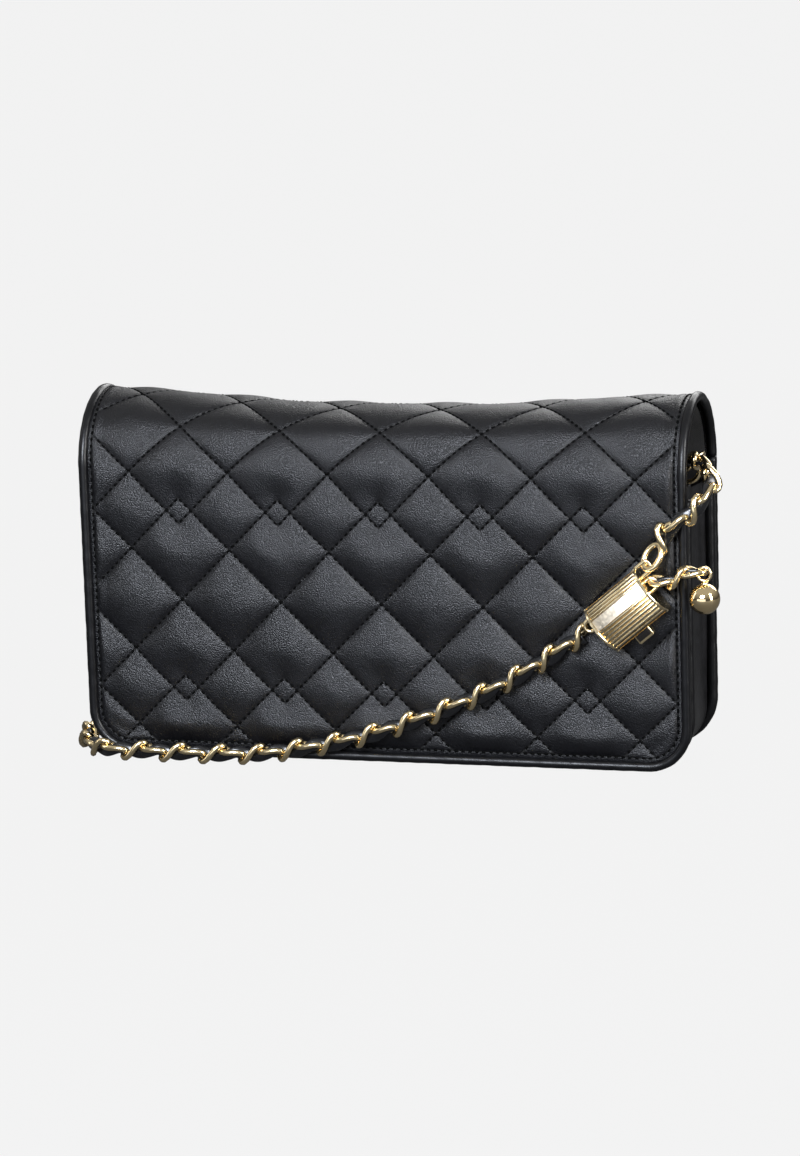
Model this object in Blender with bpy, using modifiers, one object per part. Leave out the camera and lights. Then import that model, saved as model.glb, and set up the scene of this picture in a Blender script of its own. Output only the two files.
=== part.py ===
"""A small quilted leather clutch bag with a saddle-shaped flap and a chain strap.

The flap is one sheet that runs up the front, over the rounded top and part of the way down
the back, where it is sewn to the body. The strap leaves a ring at the right side, passes a
fluted sliding lock, crosses the front and rounds the left corner to a coil behind the bag.
Metres, +Z up, the front faces -Y, and the origin is under the middle of the bag's body.
"""

import math

import bmesh
import bpy
import numpy as np
from mathutils import Matrix, Vector

# Main sizes
BAG_WIDTH = 0.220
ARCH_RADIUS = 0.026
BAG_HEIGHT = 0.130
TOUCH = 0.0003

# Quilting
PANEL_PITCHES = 6
BAND_UNITS = 8
BAND_STEP_UNITS = 7
QUILT_UNIT = 0.00914
LOWEST_BAND = -0.0427
QUILT_DEPTH = 0.0012

# Flap
PIPING_RADIUS = 0.0017
FLAP_THICKNESS = 0.0016
LINING_THICKNESS = 0.0007
FLAP_CLEAR_OF_FLOOR = 0.0015
FLAP_CORNER = 0.0155
REAR_FLAP_BOTTOM = 0.0430
ARCH_STEPS = 10
CORNER_STEPS = 6
EDGE_SHARES = [0, 0.08, 0.3, 0.6, 1]
LEAST_ROW_SHARE = 0.25

# Body
WALL_THICKNESS = 0.0018
BODY_PIPING_RADIUS = 0.0016
BODY_CORNER = 0.0150
FLAP_TO_WALL = 0.0033
FRONT_WALL_BELOW_ARCH = 0.0080
BACK_PANEL_BELOW_ARCH = 0.0035
GUSSET_THICKNESS = 0.0014
GUSSET_FOLD = 0.0035
FOLD_FULL_HEIGHT = 0.0450
BINDING_HEIGHT = 0.0026
BINDING_CORNER_SHARE = 1 / 3

# Inside
SLIP_POCKET_TOP_SHARE = 0.8125
SLIP_POCKET_HALF_WIDTH = 0.0900
CARD_SLOT_HALF_WIDTH = 0.0450
CARD_SLOT_BOTTOM = 0.0220
CARD_SLOT_TOP_SHARE = 0.625
CARD_SLOT_STEP = 0.0130
SHEET_THICKNESS = 0.0008

# Magnetic snap
SNAP_HEIGHT = 0.0300
SNAP_RADIUS = 0.0070
SNAP_SOCKET_THICKNESS = 0.0014
SNAP_BORE_RADIUS = 0.0030
SNAP_PLATE_THICKNESS = 0.0009
SNAP_PIN_RADIUS = 0.0019
SNAP_PIN_LENGTH = 0.0008

# Side rings and their tabs
TAB_WIDTH = 0.0085
TAB_THICKNESS = 0.0012
TAB_LENGTH = 0.0150
TAB_BELOW_ARCH = 0.0065
RIVET_RADIUS = 0.0021
RIVET_THICKNESS = 0.0009
RIVET_TOP_SHARE = 0.7
RING_WIRE = 0.0009
RING_RADIUS = 0.0044

# Strap
STRAP_DIAMETER = 0.0064
STRAP_LIFT = 0.0034
STRAP_POINT_SHARE = 2.4
COIL_RADIUS = 0.0340
COIL_PITCH = 0.0074
COIL_TURNS = 2.5
COIL_CLIMB_TURNS = 0.5
COIL_LAYER = 0.0070
COIL_X = -0.0450
COIL_BEHIND_BAG = 0.0017
LOOP_POINTS = 24
ROUTED_HEIGHT = 0.130

# Lock
LOCK_X = 0.0893
LOCK_HEIGHT_SHARE = 0.46
LOCK_TILT = math.radians(39.8)
LOCK_LENGTH = 0.0215
LOCK_WIDTH = 0.0180
LOCK_DEPTH = 0.0106
LOCK_SIDE_DEPTH = 0.0050
LOCK_END_PLATE = 0.0008
LOCK_END_LIP = 0.0003
FLUTES_ABOVE = 5
FLUTES_BELOW = 6
FLUTE_DEPTH = 0.0005
FLUTE_POINTS = 4
BAND_UPPER_SHARE = -0.36
BAND_LOWER_SHARE = 0.24
BUTTON_LENGTH = 0.0065
BUTTON_HEIGHT = 0.0036
BUTTON_OUT = 0.0033
BUTTON_IN = 0.0030
BUTTON_SLOT_DEPTH = 0.0050
BUTTON_CLEARANCE = 0.0003
BUTTON_OFFSET = -0.0010
LOOP_WIRE = 0.0007
BAIL_OFFSET = 0.0071
BAIL_HALF_WIDTH = 0.0019
BAIL_REACH = 0.0052
EYE_OFFSET = 0.0014
EYE_RADIUS = 0.0020
EYE_REACH = 0.0034
STRAP_EYE_OFFSET = 0.0037

# Tail links and ball
LINK_WIRE = 0.00085
LINK_LENGTH = 0.0092
LINK_WIDTH = 0.0070
TAIL_LINKS = 3
TAIL_TILT = math.radians(13)
BALL_RADIUS = 0.00535
BALL_LOOP_RADIUS = 0.0023
BALL_LOOP_WIRE = 0.0006
BALL_SLACK = 0.0005

# The strap's routes, chosen by hand: from the right ring to the lock, from the lock over the
# front and round the left corner to the coil, and from the coil up to the left ring
UPPER_ROUTE = [
    (0.1064, 0.0005, 0.1055),
    (0.1064, -0.0035, 0.1055),
    (0.1105, -0.0095, 0.1085),
    (0.1160, -0.0165, 0.1060),
    (0.1172, -0.0250, 0.1005),
    (0.1135, -0.0303, 0.0955),
    (0.1075, -0.0303, 0.0905),
    (0.1022, -0.0300, 0.0852),
    (0.1004, -0.0300, 0.0813),
]
FRONT_ROUTE = [
    (0.0735, -0.0300, 0.0505),
    (0.0687, -0.0300, 0.0473),
    (0.0582, -0.0300, 0.0404),
    (0.0436, -0.0300, 0.0318),
    (0.0291, -0.0300, 0.0249),
    (0.0144, -0.0300, 0.0190),
    (-0.0003, -0.0300, 0.0138),
    (-0.0151, -0.0300, 0.0097),
    (-0.0300, -0.0300, 0.0066),
    (-0.0449, -0.0302, 0.0043),
    (-0.0590, -0.0310, 0.0034),
    (-0.0730, -0.0325, 0.0034),
    (-0.0880, -0.0325, 0.0034),
    (-0.1020, -0.0315, 0.0034),
    (-0.1115, -0.0225, 0.0034),
    (-0.1165, -0.0100, 0.0034),
    (-0.1175, 0.0050, 0.0034),
    (-0.1145, 0.0180, 0.0034),
    (-0.1060, 0.0262, 0.0034),
    (-0.0920, 0.0285, 0.0034),
    (-0.0750, 0.0280, 0.0034),
    (-0.0517, 0.0277, 0.0034),
]
REAR_ROUTE = [
    (-0.0517, 0.0957, 0.0104),
    (-0.0700, 0.0945, 0.0102),
    (-0.0890, 0.0885, 0.0110),
    (-0.1050, 0.0765, 0.0150),
    (-0.1145, 0.0600, 0.0250),
    (-0.1180, 0.0430, 0.0420),
    (-0.1185, 0.0280, 0.0620),
    (-0.1180, 0.0190, 0.0830),
    (-0.1160, 0.0150, 0.0990),
    (-0.1110, 0.0115, 0.1062),
    (-0.1064, 0.0075, 0.1055),
    (-0.1064, 0.0034, 0.1055),
]

ARCH_CENTRE_Z = BAG_HEIGHT - ARCH_RADIUS
ARCH_LENGTH = math.pi * ARCH_RADIUS
FRONT_WALL_TOP = ARCH_CENTRE_Z - FRONT_WALL_BELOW_ARCH
BACK_PANEL_TOP = ARCH_CENTRE_Z - BACK_PANEL_BELOW_ARCH
TAB_TOP = ARCH_CENTRE_Z - TAB_BELOW_ARCH
SLIP_POCKET_TOP = FRONT_WALL_TOP * SLIP_POCKET_TOP_SHARE
CARD_SLOT_TOP = FRONT_WALL_TOP * CARD_SLOT_TOP_SHARE
LOCK_Z = BAG_HEIGHT * LOCK_HEIGHT_SHARE
ROUTE_SHARE = (BAG_HEIGHT - STRAP_LIFT) / (ROUTED_HEIGHT - STRAP_LIFT)
COLUMN_UNIT = BAG_WIDTH / PANEL_PITCHES / (BAND_UNITS / 2)
PIPING_X = BAG_WIDTH / 2 - PIPING_RADIUS
PANEL_HALF_WIDTH = PIPING_X - PIPING_RADIUS - TOUCH
BODY_HALF_WIDTH = PANEL_HALF_WIDTH - TOUCH
PANEL_INNER = ARCH_RADIUS - QUILT_DEPTH - FLAP_THICKNESS
FACET_SAG = QUILT_UNIT**2 / (8 * ARCH_RADIUS)
LINING_OUTER = PANEL_INNER - FACET_SAG - TOUCH
LINING_INNER = LINING_OUTER - LINING_THICKNESS
PIPING_MIDDLE = PANEL_INNER + PIPING_RADIUS
PIPING_BOTTOM = FLAP_CLEAR_OF_FLOOR + PIPING_RADIUS
PANEL_BOTTOM = PIPING_BOTTOM + PIPING_RADIUS + TOUCH

BACK_PANEL_Y = PANEL_INNER - TOUCH - WALL_THICKNESS
FRONT_WALL_Y = -(LINING_INNER - FLAP_TO_WALL)
WALL_BOTTOM = 2 * BODY_PIPING_RADIUS + 2 * TOUCH
BODY_PIPING_X = BODY_HALF_WIDTH + TOUCH + BODY_PIPING_RADIUS
BODY_PIPING_Z = BODY_PIPING_RADIUS + TOUCH / 2
FRONT_PIPING_Y = FRONT_WALL_Y + BODY_PIPING_RADIUS - TOUCH
BACK_PIPING_Y = BACK_PANEL_Y + WALL_THICKNESS - BODY_PIPING_RADIUS
GUSSET_FRONT = FRONT_PIPING_Y + BODY_PIPING_RADIUS + TOUCH
GUSSET_BACK = BACK_PIPING_Y - BODY_PIPING_RADIUS - TOUCH
GUSSET_TOP = FRONT_WALL_TOP
LINING_HALF_WIDTH = BODY_HALF_WIDTH - GUSSET_FOLD - GUSSET_THICKNESS - TOUCH
LINING_BOTTOM = WALL_BOTTOM
LINING_FRONT = FRONT_WALL_Y + WALL_THICKNESS + TOUCH
LINING_BACK = BACK_PANEL_Y - TOUCH
LINING_CORNER = BODY_CORNER - GUSSET_THICKNESS

COLLECTION = "clutch_bag"
CUTTERS = "cutters"
BLACK_LEATHER = (0.012, 0.012, 0.014, 1)
BLACK_LINING = (0.020, 0.019, 0.019, 1)
PALE_GOLD = (0.83, 0.66, 0.36, 1)
LEATHER_ROUGHNESS = 0.45
CLOTH_ROUGHNESS = 0.75
GOLD_ROUGHNESS = 0.18
SHARP_ANGLE = math.radians(35)
ROUND_STEPS = 24
RIVET_STEPS = 16
RING_STEPS = 20
LINK_STEPS = 14
EYE_STEPS = 8
BALL_STEPS = 20
BALL_RINGS = 12
MERGE_DISTANCE = 0.00001


def clear_scene():
    for old in list(bpy.data.objects):
        bpy.data.objects.remove(old, do_unlink=True)
    for name in (COLLECTION, CUTTERS):
        made = bpy.data.collections.new(name)
        bpy.context.scene.collection.children.link(made)


def material(name, colour, roughness, metallic=0.0):
    made = bpy.data.materials.new(name)
    made.use_nodes = True
    shader = made.node_tree.nodes["Principled BSDF"]
    shader.inputs["Base Color"].default_value = colour
    shader.inputs["Roughness"].default_value = roughness
    shader.inputs["Metallic"].default_value = metallic
    made.diffuse_color = colour
    return made


def leather(name):
    return material(f"{name}_leather", BLACK_LEATHER, LEATHER_ROUGHNESS)


def cloth(name):
    return material(f"{name}_lining", BLACK_LINING, CLOTH_ROUGHNESS)


def gold(name):
    return material(f"{name}_gold", PALE_GOLD, GOLD_ROUGHNESS, 1.0)


def add_object(name, data, finish, collection=COLLECTION):
    made = bpy.data.objects.new(name, data)
    bpy.data.collections[collection].objects.link(made)
    if finish is not None:
        data.materials.append(finish(name))
    return made


def from_bmesh(name, bm, finish, collection=COLLECTION):
    bmesh.ops.recalc_face_normals(bm, faces=bm.faces)
    data = bpy.data.meshes.new(name)
    bm.to_mesh(data)
    bm.free()
    data.shade_smooth()
    data.set_sharp_from_angle(angle=SHARP_ANGLE)
    return add_object(name, data, finish, collection)


def solidify(made, thickness, even=True):
    """Thickens an open sheet towards the back of its faces."""
    shell = made.modifiers.new("Thickness", "SOLIDIFY")
    shell.thickness = thickness
    shell.offset = -1
    shell.use_even_offset = even


def smooth_points(route, spacing):
    """Points of a smooth curve through the route's own points, its first and last runs straight."""
    route = np.array(route)
    route[:, 2] = STRAP_LIFT + (route[:, 2] - STRAP_LIFT) * ROUTE_SHARE
    run = np.linalg.norm(np.diff(route, axis=0), axis=1)
    knots = np.concatenate([[0], np.cumsum(run)])
    slopes = np.gradient(route, knots, axis=0)
    slopes[[0, 1]] = (route[1] - route[0]) / run[0]
    slopes[[-1, -2]] = (route[-1] - route[-2]) / run[-1]
    count = max(3, round((knots[-2] - knots[1]) / spacing) + 1)
    where = np.concatenate([[0], np.linspace(knots[1], knots[-2], count), [knots[-1]]])
    index = np.clip(np.searchsorted(knots, where, side="right") - 1, 0, len(run) - 1)
    step = run[index][:, None]
    t = (where - knots[index])[:, None] / step
    start, end = route[index], route[index + 1]
    return (
        (2 * t**3 - 3 * t**2 + 1) * start
        + (t**3 - 2 * t**2 + t) * step * slopes[index]
        + (-2 * t**3 + 3 * t**2) * end
        + (t**3 - t**2) * step * slopes[index + 1]
    )


def tube(name, points, radius, finish, sides_setting=2, closed=False, collection=COLLECTION):
    data = bpy.data.curves.new(name, "CURVE")
    data.dimensions = "3D"
    data.bevel_depth = radius
    data.bevel_resolution = sides_setting
    data.use_fill_caps = not closed
    spline = data.splines.new("POLY")
    spline.points.add(len(points) - 1)
    for place, point in zip(spline.points, points):
        place.co = (*point, 1)
    spline.use_cyclic_u = closed
    return add_object(name, data, finish, collection)


def plate_outline(half_width, bottom, top, bottom_corner, top_corner):
    """A rectangle with rounded corners as (x, z) points, its bottom left corner first."""
    points = []
    corners = (
        (-1, bottom, bottom_corner, math.pi),
        (1, bottom, bottom_corner, 1.5 * math.pi),
        (1, top, top_corner, 0),
        (-1, top, top_corner, 0.5 * math.pi),
    )
    for side, z, radius, start in corners:
        lift = radius if z == bottom else -radius
        steps = CORNER_STEPS if radius else 0
        for k in range(steps + 1):
            turn = start + 0.5 * math.pi * k / max(steps, 1)
            x = side * (half_width - radius) + radius * math.cos(turn)
            points.append((x, z + lift + radius * math.sin(turn)))
    return points


def plate(name, outline, front, thickness, finish):
    """A flat upright sheet between y = front and y = front + thickness."""
    bm = bmesh.new()
    face = bm.faces.new([bm.verts.new((x, front, z)) for x, z in outline])
    moved = bmesh.ops.extrude_face_region(bm, geom=[face])["geom"]
    corners = [v for v in moved if isinstance(v, bmesh.types.BMVert)]
    bmesh.ops.translate(bm, verts=corners, vec=(0, thickness, 0))
    return from_bmesh(name, bm, finish)


def u_path(half_width, bottom, top, corner):
    """(x, z) points down the left side, along the bottom and up the right side."""
    points = [(-half_width, top)]
    for side, start in ((-1, math.pi), (1, 1.5 * math.pi)):
        for k in range(CORNER_STEPS + 1):
            turn = start + 0.5 * math.pi * k / CORNER_STEPS
            x = side * (half_width - corner) + corner * math.cos(turn)
            points.append((x, bottom + corner + corner * math.sin(turn)))
    points.append((half_width, top))
    return points


def saddle_point(x, along, radius):
    """A point of the flap: up the front, over the arch and down the back, by distance along."""
    if along <= ARCH_CENTRE_Z:
        return Vector((x, -radius, along))
    turn = (along - ARCH_CENTRE_Z) / ARCH_RADIUS
    if turn < math.pi:
        return Vector((x, -radius * math.cos(turn), ARCH_CENTRE_Z + radius * math.sin(turn)))
    return Vector((x, radius, ARCH_CENTRE_Z - (along - ARCH_CENTRE_Z - ARCH_LENGTH)))


def on_stitch_line(column, row):
    """Whether a lattice point lies on the zigzag stitching of either band that holds its row."""
    band = row % BAND_STEP_UNITS
    heights = [band]
    if band <= BAND_UNITS - BAND_STEP_UNITS:
        heights.append(band + BAND_STEP_UNITS)
    half = BAND_UNITS // 2
    return any((column - h) % half == 0 or (column + h) % half == 0 for h in heights)


def rounded_end(x, along, half_width, end, corner, inward):
    """Draws a point outside a rounded corner at a sheet's end in onto the corner's arc."""
    dx = abs(x) - (half_width - corner)
    da = (end + inward * corner - along) * inward
    reach = math.hypot(dx, da)
    if dx <= 0 or da <= 0 or reach <= corner:
        return x, along
    side = math.copysign(half_width - corner + dx * corner / reach, x)
    return side, end + inward * corner - inward * da * corner / reach


def saddle_sheet(name, radius, columns, rows, ends, thickness, finish, quilted):
    """An open sheet over the saddle, with quilted relief on its lattice points, thickened inwards."""
    bm = bmesh.new()
    grid = []
    half_width = columns[-1][0]
    for along, row in rows:
        line = []
        for x, column in columns:
            px, pa = x, along
            for end, corner, inward in ends:
                px, pa = rounded_end(px, pa, half_width, end, corner, inward)
            low = quilted and (column is None or row is None or on_stitch_line(column, row))
            line.append(bm.verts.new(saddle_point(px, pa, radius - (QUILT_DEPTH if low else 0))))
        grid.append(line)
    for (_, row), lower, upper in zip(rows, grid, grid[1:]):
        for k, (_, column) in enumerate(columns[:-1]):
            a, b, c, d = lower[k], lower[k + 1], upper[k + 1], upper[k]
            known = column is not None and row is not None
            rising = known and any(
                (column - h) % (BAND_UNITS // 2) == 0
                for h in (row % BAND_STEP_UNITS, row % BAND_STEP_UNITS + BAND_STEP_UNITS)
                if h < BAND_UNITS
            )
            if not quilted:
                bm.faces.new((a, b, c, d))
            elif rising:
                bm.faces.new((a, b, c))
                bm.faces.new((a, c, d))
            else:
                bm.faces.new((a, b, d))
                bm.faces.new((b, c, d))
    data = bpy.data.meshes.new(name)
    bm.to_mesh(data)
    bm.free()
    solidify(add_object(name, data, finish), thickness, even=False)


def quilt_columns():
    inner = int(PANEL_HALF_WIDTH / COLUMN_UNIT)
    inside = [(k * COLUMN_UNIT, k) for k in range(-inner, inner + 1)]
    return [(-PANEL_HALF_WIDTH, None)] + inside + [(PANEL_HALF_WIDTH, None)]


def quilt_rows(start, end):
    first = math.ceil((start - LOWEST_BAND) / QUILT_UNIT + LEAST_ROW_SHARE)
    last = math.floor((end - LOWEST_BAND) / QUILT_UNIT - LEAST_ROW_SHARE)
    inside = [(LOWEST_BAND + k * QUILT_UNIT, k) for k in range(first, last + 1)]
    return [(start, None)] + inside + [(end, None)]


def flap_end():
    return ARCH_CENTRE_Z + ARCH_LENGTH


def rear_end(margin):
    return flap_end() + ARCH_CENTRE_Z - REAR_FLAP_BOTTOM - margin


def plain_columns(half_width, corner):
    left = [-half_width + corner * s for s in EDGE_SHARES]
    return [(x, None) for x in left + [-x for x in reversed(left)]]


def plain_rows(start, corner):
    rows = [start + corner * s for s in EDGE_SHARES]
    rows += [ARCH_CENTRE_Z + ARCH_LENGTH * k / ARCH_STEPS for k in range(ARCH_STEPS + 1)]
    return [(along, None) for along in rows]


def flap():
    corner = FLAP_CORNER - 2 * PIPING_RADIUS - TOUCH
    ends = [(PANEL_BOTTOM, corner, 1)]
    columns = quilt_columns()
    rows = quilt_rows(PANEL_BOTTOM, flap_end())
    saddle_sheet("flap_panel", ARCH_RADIUS, columns, rows, ends, FLAP_THICKNESS, leather, True)
    plain = plain_columns(PANEL_HALF_WIDTH, corner)
    rows = plain_rows(PANEL_BOTTOM, corner)
    saddle_sheet("flap_lining", LINING_OUTER, plain, rows, ends, LINING_THICKNESS, cloth, False)
    tube("flap_piping", flap_edge(), PIPING_RADIUS, leather)


def flap_edge():
    """The flap's rolled edge: over the arch, down the front, along the bottom and back again."""
    front = u_path(PIPING_X, PIPING_BOTTOM, ARCH_CENTRE_Z, FLAP_CORNER - PIPING_RADIUS)
    points = [(x, -PIPING_MIDDLE, z) for x, z in front]
    arch = [k * math.pi / ARCH_STEPS for k in range(1, ARCH_STEPS + 1)]
    rise = [
        (-PIPING_MIDDLE * math.cos(turn), ARCH_CENTRE_Z + PIPING_MIDDLE * math.sin(turn))
        for turn in arch
    ]
    left = [(-PIPING_X, y, z) for y, z in reversed(rise)]
    right = [(PIPING_X, y, z) for y, z in rise]
    return left + points + right


def rear_flap():
    """The part of the saddle that is sewn down the back of the body."""
    start = flap_end() + TOUCH
    end = rear_end(2 * PIPING_RADIUS + TOUCH)
    corner = FLAP_CORNER - 2 * PIPING_RADIUS - TOUCH
    ends = [(end, corner, -1)]
    rows = quilt_rows(start, end)
    columns = quilt_columns()
    saddle_sheet("rear_flap", ARCH_RADIUS, columns, rows, ends, FLAP_THICKNESS, leather, True)
    top = ARCH_CENTRE_Z - TOUCH
    bottom = REAR_FLAP_BOTTOM + PIPING_RADIUS
    path = u_path(PIPING_X, bottom, top, FLAP_CORNER - PIPING_RADIUS)
    tube("rear_flap_piping", [(x, PIPING_MIDDLE, z) for x, z in path], PIPING_RADIUS, leather)


def body_walls():
    front = plate_outline(BODY_HALF_WIDTH, WALL_BOTTOM, FRONT_WALL_TOP, BODY_CORNER, 0)
    plate("front_wall", front, FRONT_WALL_Y, WALL_THICKNESS, leather)
    back = plate_outline(BODY_HALF_WIDTH, WALL_BOTTOM, BACK_PANEL_TOP, BODY_CORNER, 0)
    plate("back_panel", back, BACK_PANEL_Y, WALL_THICKNESS, leather)


def gusset():
    """The strip between the walls, drawn in along the middle of each side."""
    bm = bmesh.new()
    path = u_path(BODY_HALF_WIDTH, 0, GUSSET_TOP, BODY_CORNER)
    path.insert(1, (-BODY_HALF_WIDTH, FOLD_FULL_HEIGHT))
    path.insert(-1, (BODY_HALF_WIDTH, FOLD_FULL_HEIGHT))
    middle = (GUSSET_FRONT + GUSSET_BACK) / 2
    lines = []
    for x, z in path:
        rise = min(1, max(0, (z - BODY_CORNER) / (FOLD_FULL_HEIGHT - BODY_CORNER)))
        drawn = math.copysign(GUSSET_FOLD * rise, x)
        places = ((x, GUSSET_FRONT), (x - drawn, middle), (x, GUSSET_BACK))
        lines.append([bm.verts.new((px, py, z)) for px, py in places])
    for a, b in zip(lines, lines[1:]):
        for k in range(len(a) - 1):
            bm.faces.new((a[k], a[k + 1], b[k + 1], b[k]))
    data = bpy.data.meshes.new("gusset")
    bm.to_mesh(data)
    bm.free()
    solidify(add_object("gusset", data, leather), GUSSET_THICKNESS)


def body_piping():
    for name, y, top in (
        ("front_piping", FRONT_PIPING_Y, FRONT_WALL_TOP),
        ("back_piping", BACK_PIPING_Y, BACK_PANEL_TOP),
    ):
        corner = BODY_CORNER + BODY_PIPING_RADIUS + TOUCH
        path = u_path(BODY_PIPING_X, BODY_PIPING_Z, top, corner)
        tube(name, [(x, y, z) for x, z in path], BODY_PIPING_RADIUS, leather)


def lining_bag():
    """The thin bag inside: two faces and the strip between them, open at the top."""
    bm = bmesh.new()
    top = FRONT_WALL_TOP
    path = u_path(LINING_HALF_WIDTH, LINING_BOTTOM, top, LINING_CORNER)
    front = [bm.verts.new((x, LINING_FRONT, z)) for x, z in path]
    back = [bm.verts.new((x, LINING_BACK, z)) for x, z in path]
    for k in range(len(path) - 1):
        bm.faces.new((front[k], front[k + 1], back[k + 1], back[k]))
    bm.faces.new(list(reversed(front)))
    bm.faces.new(back)
    bmesh.ops.recalc_face_normals(bm, faces=bm.faces)
    data = bpy.data.meshes.new("body_lining")
    bm.to_mesh(data)
    bm.free()
    solidify(add_object("body_lining", data, cloth), LINING_THICKNESS)


def inside_pieces():
    """The slip pocket and the two stepped card slots, sewn to the lining's back face."""
    sheets = [("slip_pocket", SLIP_POCKET_HALF_WIDTH, CARD_SLOT_BOTTOM, SLIP_POCKET_TOP)]
    for k, name in enumerate(("card_slot_upper", "card_slot_lower")):
        top = CARD_SLOT_TOP - k * CARD_SLOT_STEP
        sheets.append((name, CARD_SLOT_HALF_WIDTH, CARD_SLOT_BOTTOM, top))
    y = LINING_BACK - LINING_THICKNESS
    for name, half_width, bottom, top in sheets:
        y -= TOUCH + SHEET_THICKNESS
        plate(name, plate_outline(half_width, bottom, top, 0, 0), y, SHEET_THICKNESS, leather)


def bindings():
    """A folded strip along the open top of each wall."""
    for name, y, top in (
        ("front_binding", FRONT_WALL_Y, FRONT_WALL_TOP),
        ("back_binding", BACK_PANEL_Y, BACK_PANEL_TOP),
    ):
        low = top + TOUCH
        corner = BINDING_HEIGHT * BINDING_CORNER_SHARE
        outline = plate_outline(BODY_HALF_WIDTH, low, low + BINDING_HEIGHT, corner, corner)
        plate(name, outline, y, WALL_THICKNESS, leather)


def turned(name, profile, finish, place):
    """A solid turned about the Y axis from (radius, y) points that run from the axis round to it."""
    bm = bmesh.new()
    points = [bm.verts.new((r, y, 0)) for r, y in profile]
    edges = [bm.edges.new(pair) for pair in zip(points, points[1:])]
    bmesh.ops.spin(
        bm,
        geom=points + edges,
        cent=(0, 0, 0),
        axis=(0, 1, 0),
        angle=2 * math.pi,
        steps=ROUND_STEPS,
        use_duplicate=False,
    )
    bmesh.ops.remove_doubles(bm, verts=bm.verts, dist=MERGE_DISTANCE)
    made = from_bmesh(name, bm, finish)
    made.location = place
    return made


def magnetic_snap():
    """A socket on the front wall, its backing disc inside, and the stud under the flap."""
    outer = FRONT_WALL_Y - TOUCH
    face = outer - SNAP_SOCKET_THICKNESS
    ring = [
        (SNAP_BORE_RADIUS, 0),
        (SNAP_BORE_RADIUS, -SNAP_SOCKET_THICKNESS),
        (SNAP_RADIUS, -SNAP_SOCKET_THICKNESS),
        (SNAP_RADIUS, 0),
        (SNAP_BORE_RADIUS, 0),
    ]
    turned("snap_socket", ring, gold, (0, outer, SNAP_HEIGHT))
    stud_back = -LINING_INNER + TOUCH
    plate_front = stud_back + SNAP_PLATE_THICKNESS
    pin_end = face + SNAP_PIN_LENGTH
    stud = [
        (0, stud_back),
        (SNAP_RADIUS, stud_back),
        (SNAP_RADIUS, plate_front),
        (SNAP_PIN_RADIUS, plate_front),
        (SNAP_PIN_RADIUS, pin_end),
        (0, pin_end),
    ]
    turned("snap_stud", stud, gold, (0, 0, SNAP_HEIGHT))


def side_rings():
    """Each side's leather tab, the rivet through it and the ring that stands in its fold."""
    for side, name in ((1, "right"), (-1, "left")):
        fold_x = BODY_HALF_WIDTH - GUSSET_FOLD
        half_gusset = (GUSSET_BACK - GUSSET_FRONT) / 2
        inner = fold_x + GUSSET_FOLD * TAB_WIDTH / 2 / half_gusset + TOUCH
        middle = (GUSSET_FRONT + GUSSET_BACK) / 2
        bm = bmesh.new()
        size = (TAB_THICKNESS, TAB_WIDTH, TAB_LENGTH)
        bmesh.ops.create_cube(bm, size=1, matrix=Matrix.Diagonal((*size, 1)))
        tab = from_bmesh(f"ring_tab_{name}", bm, leather)
        tab.location = (side * (inner + TAB_THICKNESS / 2), middle, TAB_TOP - TAB_LENGTH / 2)
        bm = bmesh.new()
        bmesh.ops.create_cone(
            bm,
            cap_ends=True,
            segments=RIVET_STEPS,
            radius1=RIVET_RADIUS,
            radius2=RIVET_RADIUS * RIVET_TOP_SHARE,
            depth=RIVET_THICKNESS,
        )
        rivet = from_bmesh(f"tab_rivet_{name}", bm, gold)
        rivet.rotation_euler = (0, side * math.pi / 2, 0)
        rivet_x = inner + TAB_THICKNESS + TOUCH + RIVET_THICKNESS / 2
        rivet.location = (side * rivet_x, middle, TAB_TOP - TAB_LENGTH / 2)
        ring_z = TAB_TOP + TOUCH + RING_WIRE + RING_RADIUS
        ring_x = side * (inner + TAB_THICKNESS / 2)
        turns = [2 * math.pi * k / RING_STEPS for k in range(RING_STEPS)]
        points = [(RING_RADIUS * math.cos(a), 0, RING_RADIUS * math.sin(a)) for a in turns]
        ring = tube(f"side_ring_{name}", points, RING_WIRE, gold, 1, closed=True)
        ring.location = (ring_x, middle, ring_z)


def lock_frame():
    """The empty whose X runs along the lock and whose Z points across it, up and to the left."""
    made = bpy.data.objects.new("lock_frame", None)
    bpy.data.collections[COLLECTION].objects.link(made)
    made.location = (LOCK_X, -(ARCH_RADIUS + TOUCH), LOCK_Z)
    made.rotation_euler = (0, -LOCK_TILT, 0)
    return made


def lock_front(across):
    """The height of the lock's rounded front over its flat back, at a place across it."""
    half = LOCK_WIDTH / 2
    crown = LOCK_DEPTH - LOCK_SIDE_DEPTH
    radius = (half**2 + crown**2) / (2 * crown)
    return LOCK_DEPTH - radius + math.sqrt(max(0, radius**2 - across**2))


def lock_outline(fluted, lip=0.0):
    """(across, height) points of the lock's section, its flutes cut as shallow scallops."""
    half = LOCK_WIDTH / 2
    stops = [-1.0, BAND_UPPER_SHARE, BAND_LOWER_SHARE, 1.0]
    counts = (FLUTES_ABOVE, 0, FLUTES_BELOW)
    points = [(-half - lip, 0), (-half - lip, LOCK_SIDE_DEPTH)]
    for start, end, count in zip(stops, stops[1:], counts):
        parts = count if fluted and count else 2
        for k in range(parts):
            for j in range(FLUTE_POINTS if fluted and count else 1):
                share = start + (end - start) * (k + j / FLUTE_POINTS) / parts
                across = half * share
                dip = FLUTE_DEPTH if fluted and count and j == 0 else 0
                if k or j or start > stops[0]:
                    points.append((across, lock_front(across) - dip + lip))
    points += [(half + lip, LOCK_SIDE_DEPTH), (half + lip, 0)]
    return points


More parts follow.
